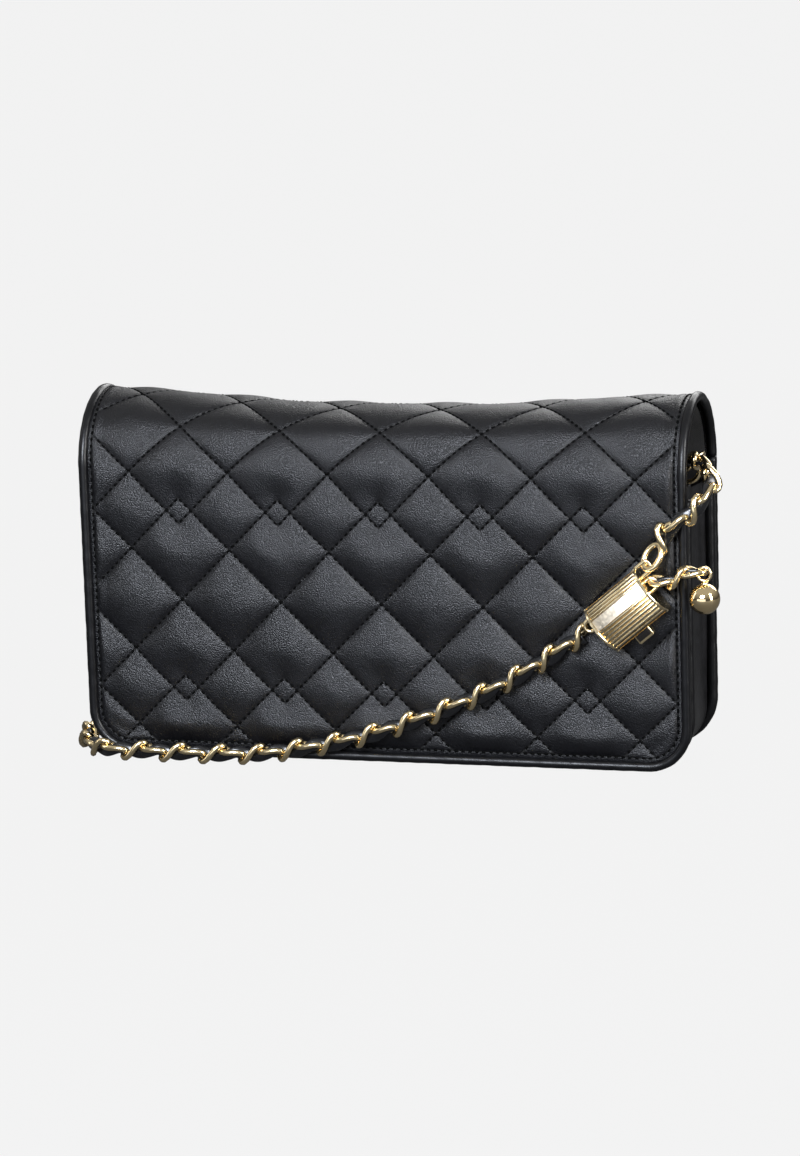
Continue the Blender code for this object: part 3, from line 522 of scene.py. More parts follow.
# %% [markdown]
# ## The chain strap
#
# The strap is a curb chain: each link is an oval of round wire with a twist, so that its near
# and far sides cross, and its neighbours stand at another angle round the chain. A strip of
# glazed leather is woven through the links. The real strap is one cord of about a metre: it
# leaves the ring at the right side, passes through the lock, crosses the front, rounds the left
# corner and ends at the left ring. What the photograph doesn't show of it lies coiled behind the
# bag. A route of points carries both the links and the strip, so that they stay woven together.

# %% The strap's routes
STRAP_LIFT = 0.0041
COIL_RADIUS = 0.0340
COIL_PITCH = 0.0074
COIL_TURNS = 2.5
COIL_LAYER = 0.0070
COIL_MIDDLE = (-0.0450, 0.0617)
COIL_CLIMB_TURNS = 0.5
UPPER_ROUTE = [
    (0.1064, 0.0005, 0.1055), (0.1064, -0.0035, 0.1055), (0.1105, -0.0095, 0.1085),
    (0.1160, -0.0165, 0.1060), (0.1172, -0.0250, 0.1005), (0.1135, -0.0303, 0.0955),
    (0.1075, -0.0303, 0.0905), (0.1022, -0.0300, 0.0852), (0.1004, -0.0300, 0.0813),
]
FRONT_ROUTE = [
    (0.0735, -0.0300, 0.0505), (0.0687, -0.0300, 0.0473), (0.0582, -0.0300, 0.0404),
    (0.0436, -0.0300, 0.0318), (0.0291, -0.0300, 0.0249), (0.0144, -0.0300, 0.0190),
    (-0.0003, -0.0300, 0.0138), (-0.0151, -0.0300, 0.0097), (-0.0300, -0.0300, 0.0066),
    (-0.0449, -0.0302, 0.0043), (-0.0590, -0.0310, 0.0039), (-0.0730, -0.0325, 0.0042),
    (-0.0880, -0.0325, 0.0044), (-0.1020, -0.0315, 0.0044), (-0.1115, -0.0225, 0.0042),
    (-0.1165, -0.0100, 0.0041), (-0.1175, 0.0050, 0.0041), (-0.1145, 0.0180, 0.0041),
    (-0.1060, 0.0262, 0.0041), (-0.0920, 0.0285, 0.0041), (-0.0750, 0.0280, 0.0041),
    (-0.0517, 0.0277, 0.0041),
]
REAR_ROUTE = [
    (-0.0517, 0.0957, 0.0111), (-0.0700, 0.0945, 0.0102), (-0.0890, 0.0885, 0.0110),
    (-0.1050, 0.0765, 0.0150), (-0.1145, 0.0600, 0.0250), (-0.1180, 0.0430, 0.0420),
    (-0.1185, 0.0280, 0.0620), (-0.1180, 0.0190, 0.0830), (-0.1160, 0.0150, 0.0990),
    (-0.1110, 0.0115, 0.1062), (-0.1064, 0.0075, 0.1055), (-0.1064, 0.0034, 0.1055),
]


def smooth_route(route, spacing):
    """Points of a Hermite curve through the route: each stretch is a cubic between two points
    whose slopes come from their neighbours, with the first and the last stretch straight."""
    route = np.array(route, float)
    run = np.linalg.norm(np.diff(route, axis=0), axis=1)
    knots = np.concatenate([[0], np.cumsum(run)])
    slopes = np.gradient(route, knots, axis=0)
    slopes[[0, 1]] = (route[1] - route[0]) / run[0]
    slopes[[-1, -2]] = (route[-1] - route[-2]) / run[-1]
    where = np.linspace(0, knots[-1], max(4, round(knots[-1] / spacing) + 1))
    index = np.clip(np.searchsorted(knots, where, side="right") - 1, 0, len(run) - 1)
    step = run[index][:, None]
    t = (where - knots[index])[:, None] / step
    return (
        (2 * t**3 - 3 * t**2 + 1) * route[index]
        + (t**3 - 2 * t**2 + t) * step * slopes[index]
        + (-2 * t**3 + 3 * t**2) * route[index + 1]
        + (t**3 - t**2) * step * slopes[index + 1]
    )


def coil_route():
    """A flat spiral in along the floor and out again one layer up: the radius falls by one
    pitch a turn and then grows again, and the height climbs smoothly in the middle half turn."""
    turn = np.linspace(0, COIL_TURNS, round(COIL_TURNS * 48) + 1)
    radius = COIL_RADIUS - COIL_PITCH * np.minimum(turn, COIL_TURNS - turn)
    climb = np.clip((turn - (COIL_TURNS - COIL_CLIMB_TURNS) / 2) / COIL_CLIMB_TURNS, 0, 1)
    height = STRAP_LIFT + COIL_LAYER * (3 * climb**2 - 2 * climb**3)
    angle = -math.pi / 2 + 2 * math.pi * turn
    x = COIL_MIDDLE[0] + radius * np.cos(angle)
    y = COIL_MIDDLE[1] + radius * np.sin(angle)
    return np.stack([x, y, height], axis=1)


upper_path = smooth_route(UPPER_ROUTE, 0.7 * MM)
front_path = smooth_route(FRONT_ROUTE, 1.2 * MM)
coil_path = coil_route()
rear_path = smooth_route(REAR_ROUTE, 1.5 * MM)
lead_in = np.linspace(front_path[-1], coil_path[0], 7)[1:]
lead_out = np.linspace(coil_path[-1], rear_path[0], 7)[1:-1]
main_path = np.concatenate([front_path, lead_in, coil_path[1:], lead_out, rear_path])
print("upper strap, mm:", round(1000 * lengths(upper_path)[-1], 1))
print("main strap, mm:", round(1000 * lengths(main_path)[-1], 1))

# %% [markdown]
# ### One link and the woven strip
#
# In the middle of a link the twist is nothing; towards its near side it turns one way and
# towards its far side the other. Links alternate between a steep one and a lying one, which sits
# a little further in. The strip snakes from side to side and in and out once every two links, so
# it bulges between them. The chain stops short of each side ring, where a plain end link that
# comes with the rings takes over.

# %% One link
LINK_WIRE = 1.12 * MM
LINK_LENGTH = 12.2 * MM
LINK_WIDTH = 7.0 * MM
LINK_STEP = 7.2 * MM
LINK_SIDES = 7


def outward(path):
    """The direction away from the bag: from the nearest place on the bag's middle line."""
    nearest = np.clip(path[:, 0], -0.100, 0.100)
    return unit(np.stack([path[:, 0] - nearest, path[:, 1], 0 * nearest], axis=1))


def link_ring(steep, points=18):
    """The middle line of one link in chain directions (along, across, out). An oval with its
    long side along the chain, turned about the outward axis by an angle that grows with depth:
    along = a cos t, out = b sin t, then a turn of (lean + twist sin t), and a tilt."""
    lean, twist, tilt, inset = (31, 23, 0, 0) if steep else (-14, 17, -14, 0.6 * MM)
    t = around(points)
    along = (LINK_LENGTH / 2 - LINK_WIRE) * np.cos(t)
    out = (LINK_WIDTH / 2 - LINK_WIRE) * np.sin(t)
    turn = math.radians(lean) + math.radians(twist) * np.sin(t)
    tilt = math.radians(tilt)
    side = along * np.sin(turn) + out * math.sin(tilt)
    return np.stack([along * np.cos(turn), side, out * math.cos(tilt) - inset], axis=1)


print("one link is, mm long:", LINK_LENGTH / MM, "and wide:", LINK_WIDTH / MM)

# %% The chain and the strip woven through it
STRIP_HALF_WIDTH = 2.1 * MM
STRIP_HALF_THICKNESS = 0.75 * MM
STRIP_SIDES = 10


def repeated(faces, copies, points):
    """The faces of one shape for each of its copies, with that many points in each."""
    return (faces + np.arange(copies)[:, None, None] * points).reshape(-1, 4)


def squared(wave, power):
    """A sine or a cosine drawn out towards one or minus one: its size to a power under one,
    with its sign. It makes a circle into a square with round corners."""
    return np.sign(wave) * np.abs(wave) ** power


def chain(name, path, normals, first, last):
    """Links set at even steps along a path, and a strip woven through them. The first link's
    middle lies the distance first from the path's start, and the last link's the distance last
    from its end. Each link's points are turned into the path's own directions. The strip's
    middle wanders from the path by cosines across and outwards, and its flat section turns
    with the path."""
    distance = lengths(path)
    end = distance[-1]
    count = round((end - first - last) / LINK_STEP) + 1
    step = (end - first - last) / (count - 1)
    ahead, out, side = across(path, normals)
    side = -side
    where = first + np.arange(count) * step
    centre = read_at(where, distance, path)
    axes = [unit(read_at(where, distance, axis)) for axis in (ahead, side, out)]
    points, faces, total = [], [], 0
    for kind, steep in enumerate((True, False)):
        ring = link_ring(steep)
        skin = tube_points(ring, LINK_WIRE, (0.3, 0.5, 0.8), LINK_SIDES, closed=True).reshape(-1, 3)
        place = centre[kind::2][:, None]
        for k, axis in enumerate(axes):
            place = place + skin[:, k, None] * axis[kind::2][:, None]
        one = grid_faces(len(ring), LINK_SIDES, ring_rows=True, ring_columns=True)
        faces.append(repeated(one, len(place), len(skin)) + total)
        points.append(place.reshape(-1, 3))
        total += place.size // 3
    link_faces = sum(len(part) for part in faces)

    start, stop = max(first - 0.3 * step, 0.2 * MM), min(end - last + 0.3 * step, end - 0.2 * MM)
    fine = np.linspace(start, stop, round((stop - start) / (0.75 * MM)))
    middle = read_at(fine, distance, path)
    sideways, outwards = (unit(read_at(fine, distance, axis)) for axis in (side, out))
    phase = math.pi * (fine - first) / step
    sway = (0.5 - 1.1 * np.cos(phase - 0.65 * math.pi)) * MM
    swell = (-0.1 - 0.3 * np.cos(phase)) * MM
    line = middle + sway[:, None] * sideways + swell[:, None] * outwards
    turn = 0.5 * np.sin(phase)[:, None]
    wide = np.cos(turn) * sideways + np.sin(turn) * outwards
    thin = np.cos(turn) * outwards - np.sin(turn) * sideways
    angle = around(STRIP_SIDES)
    width = (STRIP_HALF_WIDTH * squared(np.cos(angle), 0.7))[:, None]
    thick = (STRIP_HALF_THICKNESS * np.sin(angle))[:, None]
    points.append((line[:, None] + width * wide[:, None] + thick * thin[:, None]).reshape(-1, 3))
    cap = np.array([[0, 1, 8, 9], [1, 2, 7, 8], [2, 3, 6, 7], [3, 4, 5, 6]])
    far_cap = cap + (len(fine) - 1) * STRIP_SIDES
    skin = grid_faces(len(fine), STRIP_SIDES, ring_columns=True)
    faces += [part + total for part in (skin, cap[:, ::-1], far_cap)]
    faces = np.concatenate(faces)
    made = make_mesh(
        name, np.concatenate(points), faces, [GOLD, STRAP_LEATHER],
        slots=np.arange(len(faces)) >= link_faces, facing=1,
    )
    print(name, "has", count, "links,", len(made.data.polygons), "faces")
    return made


# %% The strap's two lengths
upper = chain("strap_upper_chain", upper_path, outward(upper_path), 9.9 * MM, 3.7 * MM)
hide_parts("strap_upper")
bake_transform(upper)

distance = lengths(main_path)
turn_down = np.clip((distance - distance[len(front_path) - 1] + 0.05) / 0.05, 0, 1)
turn_up = np.clip((distance[-len(rear_path)] + 0.07 - distance) / 0.07, 0, 1)
flat = (turn_down * turn_up)[:, None]
normals = outward(main_path) * (1 - flat) + np.array([0, 0, 1.0]) * flat
strap = chain("strap_main_chain", main_path, normals, 1.5 * MM, 11.4 * MM)
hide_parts("strap_front", "strap_coil", "strap_rear")
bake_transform(strap)

# %% [markdown]
# ## The quilted saddle
#
# The face of the bag is leather, foam and backing sewn through in bands of diamonds. Each band
# is eight lattice units high and overlaps the next by one, so small diamonds appear where two
# bands meet. Pulling the thread tight makes grooves, and the foam swells between them. The
# height of a pillow is the product of one rise for each family of stitch lines: zero on the
# line, growing fast beside it and level in the middle. A product has no crease where two lines
# are equally near, so the pillows come out soft.

# %% The quilting's formula
QUILT_UNIT = 9.14 * MM
COLUMN_UNIT = 220 * MM / 24
LOWEST_BAND = -42.7 * MM
BAND_UNITS = 8
BAND_STEP = 7
DIAMOND = 4
STITCH_RADIUS = ARCH_RADIUS - 2.1 * MM
PILLOW_HEIGHT = 3.0 * MM
PILLOW_RISE_MM = 12.5
TOPSTITCH_MM = 0.9
CREST_SAG = 4.6 * MM
UNDER_PIPING = 0.9 * MM
FULLNESS, RIPPLE = 0.9 * MM, 0.06 * MM
BORDER_LIFT, LOWER_SINK, PIPING_FALL = 0.9 * MM, 0.3 * MM, 0.4 * MM
THREAD_CREASE, CREASE_REACH_MM = 0.2 * MM, 0.6
GRID_PARTS, GRID_COLUMNS = 12, 139
INNER_CORNER = FLAP_CORNER - 2 * PIPING_RADIUS


def fade(value, low, high):
    """0 below low, 1 above high, and a smooth S between."""
    t = np.clip((value - low) / (high - low), 0, 1)
    return t * t * (3 - 2 * t)


def band_distances(column, height):
    """Distances, in millimetres, to the two families of stitch lines of one band, and how hard
    they hold the leather, which is half as hard at the band's ends. The foot of the
    perpendicular on the nearest line may lie past the line's end: the distance is then the
    hypotenuse of the offset and what lies past the end."""
    found = []
    for slant in (1, -1):
        offset = (column - slant * height + DIAMOND / 2) % DIAMOND - DIAMOND / 2
        foot = height + slant * offset / 2
        past = np.abs(foot - np.clip(foot, 0, BAND_UNITS)) * math.sqrt(2)
        found.append(np.hypot(offset / math.sqrt(2), past) * COLUMN_UNIT / MM)
    hold = 1 - 0.5 * (1 - fade(np.minimum(height, BAND_UNITS - height), -0.5, 3.5))
    return *found, hold


def rise(distance_mm, reach_mm=PILLOW_RISE_MM):
    """A rounded step: a sine that climbs from zero and stays level past its reach."""
    share = np.clip(distance_mm / reach_mm, 0, 1)
    return np.sin(share * math.pi / 2) ** 0.72


def quilting(x, along):
    """The pillow's height share, from 0 on a stitch to 1, and the distance to the nearest
    stitch in millimetres."""
    column = x / COLUMN_UNIT
    height = (along - LOWEST_BAND) / QUILT_UNIT
    band = np.floor(height / BAND_STEP)
    swell = np.ones_like(column)
    nearest = np.full_like(column, 99.0)
    for step in (-1, 0, 1):
        one, other, hold = band_distances(column, height - (band + step) * BAND_STEP)
        swell = swell * (1 - hold * (1 - rise(one))) * (1 - hold * (1 - rise(other)))
        nearest = np.minimum(nearest, np.minimum(one, other))
    return swell, nearest


print("the bands repeat every, mm:", round(BAND_STEP * QUILT_UNIT / MM, 1))

# %% The leather's height over the saddle
def edge_distance(x, along, end, inward):
    """The distance to the sheet's border: its sides, and one end with rounded corners."""
    dx = PANEL_HALF_WIDTH - np.abs(x)
    da = (along - end) * inward
    at_corner = (dx < INNER_CORNER) & (da < INNER_CORNER)
    rounded = INNER_CORNER - np.hypot(INNER_CORNER - dx, INNER_CORNER - da)
    return np.where(at_corner, rounded, np.minimum(dx, da))


def on_saddle(x, along, radius):
    """Points of the saddle at a radius from its middle: up the front, over and down the back.
    The crest sinks between the piped ends, most at the top."""
    turn = np.clip((along - ARCH_Z) / ARCH_RADIUS, 0, math.pi)
    y = -radius * np.cos(turn)
    z = ARCH_Z + radius * np.sin(turn)
    z = z + np.minimum(along - ARCH_Z, 0) - np.maximum(along - HINGE_ALONG, 0)
    middle = 1 - fade(np.abs(x), 0.02, 0.109)
    sag = CREST_SAG * middle * np.sin(turn) ** 2.2
    return np.stack([np.broadcast_to(x, z.shape), y, z - sag], axis=-1)


def skin_radius(x, along, piped_end, inward):
    """The leather's radius from the saddle's middle, and how close each place is to a stitch, in
    millimetres. The radius is the groove's plus the pillow, a slow fullness at the front, fine
    ripples and a lift towards the border, less a fall at the piping and a crease at the thread.
    Along the front's lower edge the pillows slope off further and the border sinks instead."""
    border = edge_distance(x, along, piped_end, inward) / MM
    swell, nearest = quilting(x, along)
    low = (1 - fade(along - piped_end, 0.006, 0.016)) if inward > 0 else 0
    tuck = low * (1 - fade(np.abs(x), 0.082, 0.096))
    swell = swell * rise(np.maximum(border - TOPSTITCH_MM, 0), 3.0 + 6.0 * low)
    front = 1 - fade(along, ARCH_Z - 0.03, ARCH_Z)
    off_strap = fade(along - (0.045 + 0.45 * x), 0.0, 0.03)
    full = FULLNESS * front * off_strap * fade(border, 2, 40) * fade(along, 0.03, 0.06)
    ripple = RIPPLE * np.sin(x * 310 + 3 * np.sin(along * 170)) * np.sin(along * 260 + x * 90)
    fall = PIPING_FALL * np.clip((0.6 - border) / 1.5, 0, 1)
    lift = BORDER_LIFT * (1 - fade(border, 0.0, 5.0)) * (1 - tuck)
    lift = lift - LOWER_SINK * tuck * (1 - fade(border, 1.0, 7.0))
    over_top = fade(along, ARCH_Z - 0.004, ARCH_Z + 0.018)
    arch = over_top * (1 - fade(along, HINGE_ALONG - 0.014, HINGE_ALONG + 0.01))
    swell = swell * (1 - 0.5 * arch) + 0.25 * arch
    topstitch = np.abs(border - TOPSTITCH_MM)
    inner = border > TOPSTITCH_MM - 0.3
    closest = np.where(inner, np.minimum(nearest, topstitch), topstitch)
    crease = THREAD_CREASE * np.exp(-((closest / CREASE_REACH_MM) ** 2))
    radius = STITCH_RADIUS + PILLOW_HEIGHT * swell + full + ripple * swell
    return radius + lift - fall - crease, closest


print("the crest sinks in the middle by, mm:", round(CREST_SAG / MM, 1))

# %% The sheet at the front and over the top, and the part sewn to the back
def round_corners(x, along, half_width, end, corner, inward=1):
    """Draws in the places past the round corners at one end to the corners' circles, and says
    which they were."""
    dx = np.abs(x) - (half_width - corner)
    da = (end + inward * corner - along) * inward
    reach = np.hypot(dx, da)
    cut = (dx > 0) & (da > 0) & (reach > corner)
    shrink = np.where(cut, corner / np.maximum(reach, 1e-9), 1)
    x = np.where(cut, np.sign(x) * (half_width - corner + dx * shrink), x)
    return x, np.where(cut, end + inward * corner - inward * da * shrink, along), cut


def saddle_sheet(name, start, end, inward, body, node):
    """One part of the quilted sheet as a fine grid whose lines follow the stitch lattice. Its
    piped end is its start if inward is 1, and its end if inward is -1."""
    piped_end = start if inward > 0 else end
    limit = piped_end - inward * UNDER_PIPING
    start, end = (limit, end) if inward > 0 else (start, limit)
    columns = np.arange(-GRID_COLUMNS, GRID_COLUMNS + 1) / GRID_PARTS * COLUMN_UNIT
    outer = PANEL_HALF_WIDTH + UNDER_PIPING
    columns = np.concatenate([[-outer, -PANEL_HALF_WIDTH], columns, [PANEL_HALF_WIDTH, outer]])
    first = math.ceil((start - LOWEST_BAND) / QUILT_UNIT * GRID_PARTS + 0.3)
    last = math.floor((end - LOWEST_BAND) / QUILT_UNIT * GRID_PARTS - 0.3)
    rows = LOWEST_BAND + np.arange(first, last + 1) / GRID_PARTS * QUILT_UNIT
    x, along = np.meshgrid(columns, np.concatenate([[start], rows, [end]]))
    x, along, cut = round_corners(x, along, outer, limit, INNER_CORNER + UNDER_PIPING, inward)
    radius, closest = skin_radius(x, along, piped_end, inward)
    points = on_saddle(x, along, radius)
    faces = grid_faces(*x.shape)
    faces = faces[~cut.ravel()[faces].all(axis=1)]
    near = closest.ravel()[faces]
    crossing = near[:, 1] + near[:, 3] < near[:, 0] + near[:, 2]
    faces = np.where(crossing[:, None], np.roll(faces, 1, axis=1), faces)
    made = make_mesh(name, points, faces, QUILT_LEATHER, facing=1)
    layer = made.data.attributes.new("stitch_distance", "FLOAT", "POINT")
    layer.data.foreach_set("value", np.minimum(closest, 5.0).astype(np.float32).ravel())
    print(name, len(made.data.polygons), "faces")
    seat(made, body, "black_leather", node)


saddle_sheet("quilted_flap", PANEL_BOTTOM, HINGE_ALONG, 1, "flap", "flap_panel")
saddle_sheet("quilted_back", HINGE_ALONG, REAR_END, -1, "bag", "rear_flap")

# %% [markdown]
# ### The thread
#
# The quilting is sewn with black waxed thread, about ten stitches to the inch. A stitch is a
# short bead that dips into its needle holes at both ends. All of them are worked out at once:
# places along every slanting line, kept where the line really runs, then lifted to the leather.

# %% Where the stitches are
STITCH_PITCH = 2.5 * MM


def quilting_stitches(start, end):
    """The middle (x, along) and direction of every quilting stitch between two distances."""
    unit_length = math.hypot(COLUMN_UNIT, QUILT_UNIT)
    count = round(BAND_UNITS * unit_length / STITCH_PITCH)
    level = (np.arange(count) + 0.5) / count * BAND_UNITS
    first = math.floor((start - LOWEST_BAND) / QUILT_UNIT / BAND_STEP) - 1
    last = math.ceil((end - LOWEST_BAND) / QUILT_UNIT / BAND_STEP) + 1
    bands, columns = np.arange(first, last), np.arange(-6, 7) * DIAMOND
    every = np.meshgrid(bands, columns, [-1, 1], level)
    band, column, slant, level = (v.ravel() for v in every)
    x = (column + slant * level) * COLUMN_UNIT
    along = LOWEST_BAND + (band * BAND_STEP + level) * QUILT_UNIT
    ahead = np.stack([slant * COLUMN_UNIT, np.full(len(x), QUILT_UNIT)], axis=1) / unit_length
    return x, along, ahead


def u_route(half_width, bottom, top, corner, steps=14):
    """Evenly spaced places (x, z) down the left side, round two corners and up the right side:
    straight, a quarter circle, straight, a quarter circle, straight."""
    quarter = np.linspace(0, math.pi / 2, steps)
    x = -(half_width - corner) - corner * np.cos(quarter)
    left = np.stack([x, bottom + corner - corner * np.sin(quarter)], axis=1)
    right = left[::-1] * [-1, 1]
    route = np.concatenate([[[-half_width, top]], left, right, [[half_width, top]]])
    run = lengths(route)
    return read_at(np.linspace(0, run[-1], max(40, round(run[-1] / (1.6 * MM)))), run, route)


def border_stitches(start, end, inward):
    """Stitches that follow the border at the topstitch's distance: up the sides, round the
    corners and across the piped end."""
    margin = TOPSTITCH_MM * MM
    piped, far = (start, end) if inward > 0 else (end, start)
    height = abs(far - piped) - margin
    route = u_route(PANEL_HALF_WIDTH - margin, 0.0, height, INNER_CORNER - margin)
    path = np.stack([route[:, 0], piped + inward * (margin + route[:, 1])], axis=1)
    run = lengths(path)
    where = np.arange(STITCH_PITCH, run[-1] - STITCH_PITCH, STITCH_PITCH)
    spot, later = read_at(where, run, path), read_at(where + 0.1 * MM, run, path)
    return spot[:, 0], spot[:, 1], unit(later - spot)


print("stitches round the back's border:", len(border_stitches(HINGE_ALONG, REAR_END, -1)[0]))

# %% The beads of thread
STITCH_LENGTH = 1.7 * MM
THREAD_RADIUS = 0.42 * MM
THREAD_SIDES = 5


def sew(name, start, end, inward, body):
    """Beads of thread on the leather: each is a short tube, thick in the middle, whose ends dip."""
    piped_end = start if inward > 0 else end
    x, along, ahead = quilting_stitches(start, end)
    inside = edge_distance(x, along, piped_end, inward) > (TOPSTITCH_MM + 1.0) * MM
    keep = inside & (along > start) & (along < end)
    quilted = (v[keep] for v in (x, along, ahead))
    bordering = border_stitches(start, end, inward)
    x, along, ahead = (np.concatenate(pair) for pair in zip(quilted, bordering))
    share = np.array([-0.5, -0.3, 0.3, 0.5])
    dip = np.array([-0.30, 0.10, 0.10, -0.30]) * MM
    thick = np.array([0.35, 1, 1, 0.35]) * THREAD_RADIUS
    px = x[:, None] + ahead[:, :1] * share * STITCH_LENGTH
    pa = along[:, None] + ahead[:, 1:] * share * STITCH_LENGTH
    radius, _ = skin_radius(px, pa, piped_end, inward)
    line = on_saddle(px, pa, radius + dip)
    out = unit(on_saddle(px, pa, radius + 1 * MM) - on_saddle(px, pa, radius))
    side = np.cross(unit(line[:, -1] - line[:, 0])[:, None], out)
    turn = around(THREAD_SIDES)[:, None]
    circle = out[:, :, None] * np.cos(turn) + side[:, :, None] * np.sin(turn)
    beads = line[:, :, None] + thick[:, None, None] * circle
    one = grid_faces(len(share), THREAD_SIDES, ring_columns=True)
    faces = repeated(one, len(x), len(share) * THREAD_SIDES)
    seat(make_mesh(name, beads, faces, THREAD, facing=1), body, "black_leather")
    print(name, "has", len(x), "stitches")


sew("flap_stitches", PANEL_BOTTOM, HINGE_ALONG - 0.5 * MM, 1, "flap")
sew("back_flap_stitches", HINGE_ALONG + 0.5 * MM, REAR_END, -1, "bag")

# %% [markdown]
# ## Rolled piping
#
# Each border is finished with piping: a cord wrapped in a thin leather strip and sewn into the
# seam. It is a round tube along the border. The leather is drawn round the corners, so the
# radius swells and shrinks a little along the way.

# %% Helpers for borders
def box_of(node):
    """The low corner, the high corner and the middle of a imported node's box."""
    low, high = (np.array(corner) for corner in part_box(node))
    return low, high, (low + high) / 2


def upright(places, y=0.0):
    """Points at one depth from (x, z) places."""
    return np.stack([places[:, 0], np.full(len(places), y), places[:, 1]], axis=1)


def rolled(name, path, radius, node, body):
    """A piping tube whose radius wavers a little, as leather drawn over a cord does."""
    run = lengths(path)
    waver = 0.03 * np.sin(run * 520) * np.sin(run * 170 + 1) + 0.02 * np.sin(run * 1100)
    piping = tube(name, path, radius * (1 + waver), (0.2, 1, 0.3), 14, TRIM_LEATHER)
    seat(piping, body, "black_leather", node)
    print(name, "is, mm long:", round(1000 * run[-1], 1))


# %% The flap's piping: over the arch, down the front, along the bottom and back again
piping_corner = FLAP_CORNER - PIPING_RADIUS
turn = np.linspace(math.pi, 0, 60)[:-1]
arch_y, arch_z = -PIPING_MIDDLE * np.cos(turn), ARCH_Z + PIPING_MIDDLE * np.sin(turn)
left_arch = np.stack([np.full_like(turn, -PIPING_X), arch_y, arch_z], axis=1)
right_arch = left_arch[::-1] * [-1, 1, 1]
front_line = upright(u_route(PIPING_X, PIPING_BOTTOM, ARCH_Z, piping_corner), -PIPING_MIDDLE)
flap_edge = np.concatenate([left_arch, front_line, right_arch])
rolled("flap_rolled_piping", flap_edge, PIPING_RADIUS, "flap_piping", "flap")
rear_low, rear_high = REAR_FLAP_BOTTOM + PIPING_RADIUS, ARCH_Z - 0.3 * MM
rear_line = upright(u_route(PIPING_X, rear_low, rear_high, piping_corner), PIPING_MIDDLE)
rolled("back_flap_rolled_piping", rear_line, PIPING_RADIUS, "rear_flap_piping", "bag")

# %% The body's own piping at the front and the back
BODY_PIPING_RADIUS = 0.0019
BODY_PIPING_X = 0.1079
BODY_PIPING_CORNER = 0.0169
body_edge_z = BODY_PIPING_RADIUS + 0.15 * MM
for node, top in (("front_piping", FRONT_WALL_TOP), ("back_piping", BACK_PANEL_TOP)):
    y = box_of(node)[2][1]
    edge = u_route(BODY_PIPING_X, body_edge_z, top, BODY_PIPING_CORNER)
    rolled(node + "_rolled", upright(edge, y), BODY_PIPING_RADIUS, node, "bag")
    print(node, "at y, mm:", round(1000 * y, 2))

# %% [markdown]
# ## Walls, pockets and bindings
#
# The body is soft: two leather walls, a drawn-in side strip between them, and a lining with a
# slip pocket and two card slots. Each flat piece is a thin cushion: a loop that goes up one face
# and down the other, with rounded edges, whose faces swell a little and carry slow dents.

# %% Helper for soft flat pieces
PLATE_TOP_CORNER = 0.5 * MM
PLATE_ROUNDING = 0.8 * MM
DENT_REACH = 0.02


def soft_plate(node, corner, finish, swell):
    """A thin upright piece that fills its node's box. Its height at each place across is cut by
    quarter circles at the corners, and its section is a flat loop with rounded ends."""
    low, high, middle = box_of(node)
    half_width, thickness = high[0], high[1] - low[1]
    x = half_width * np.sin(np.linspace(-math.pi / 2, math.pi / 2, 90))
    past = np.maximum(np.abs(x) - (half_width - corner), 0)
    bottom = low[2] + corner - np.sqrt(np.maximum(corner**2 - past**2, 0))
    past = np.maximum(np.abs(x) - (half_width - PLATE_TOP_CORNER), 0)
    top = high[2] - PLATE_TOP_CORNER + np.sqrt(np.maximum(PLATE_TOP_CORNER**2 - past**2, 0))
    x, bottom, top = x[:, None], bottom[:, None], top[:, None]
    turn = around(80)
    depth = -np.sign(np.sin(turn)) * np.minimum(np.abs(np.sin(turn)) * 9, 1)
    z = (top + bottom) / 2 - (top - bottom) / 2 * np.cos(turn)
    edge = np.minimum(np.minimum(half_width - np.abs(x), z - bottom), top - z)
    plump = thickness / 2 * np.clip(np.sqrt(np.maximum(edge, 0) / PLATE_ROUNDING), 0.02, 1)
    dents = np.sin(x * 61 + 1) * np.sin(z * 83) * swell * np.clip(edge / DENT_REACH, 0, 1)
    points = np.stack([np.broadcast_to(x, z.shape), middle[1] + depth * plump + dents, z], axis=-1)
    seat(lofted("soft_" + node, points, finish), "bag", "black_leather", node)


# %% The walls, the bindings, the pocket and the card slots
for node, corner, finish, swell in (
    ("front_wall", BODY_CORNER, TRIM_LEATHER, 0.12 * MM),
    ("back_panel", BODY_CORNER, GUSSET_LEATHER, 0.12 * MM),
    ("front_binding", 0.9 * MM, TRIM_LEATHER, 0.02 * MM),
    ("back_binding", 0.9 * MM, TRIM_LEATHER, 0.02 * MM),
    ("slip_pocket", 0.5 * MM, GUSSET_LEATHER, 0.02 * MM),
    ("card_slot_upper", 0.5 * MM, TRIM_LEATHER, 0.02 * MM),
    ("card_slot_lower", 0.5 * MM, TRIM_LEATHER, 0.02 * MM),
):
    soft_plate(node, corner, finish, swell)
    print("soft flat piece made:", node)

# %% [markdown]
# ## The side strip
#
# Between the walls runs one strip of softer, duller leather, down one side, along the bottom and
# up the other. On the sides its middle is drawn in, so that the bag can open. Its section is
# three gentle curves, and the fold deepens from nothing at the bottom corner.

# %% The strip with its drawn-in fold
GUSSET_FRONT, GUSSET_BACK = -0.0158, 0.0202
GUSSET_THICKNESS = 0.0014
GUSSET_FOLD = 0.0035
FOLD_FULL_HEIGHT = 0.0450
share = np.linspace(0, 1, 33)


def pinch(middle, width):
    """A bell over the share of the strip's width: e to the minus square of the distance."""
    return np.exp(-(((share - middle) / width) ** 2))


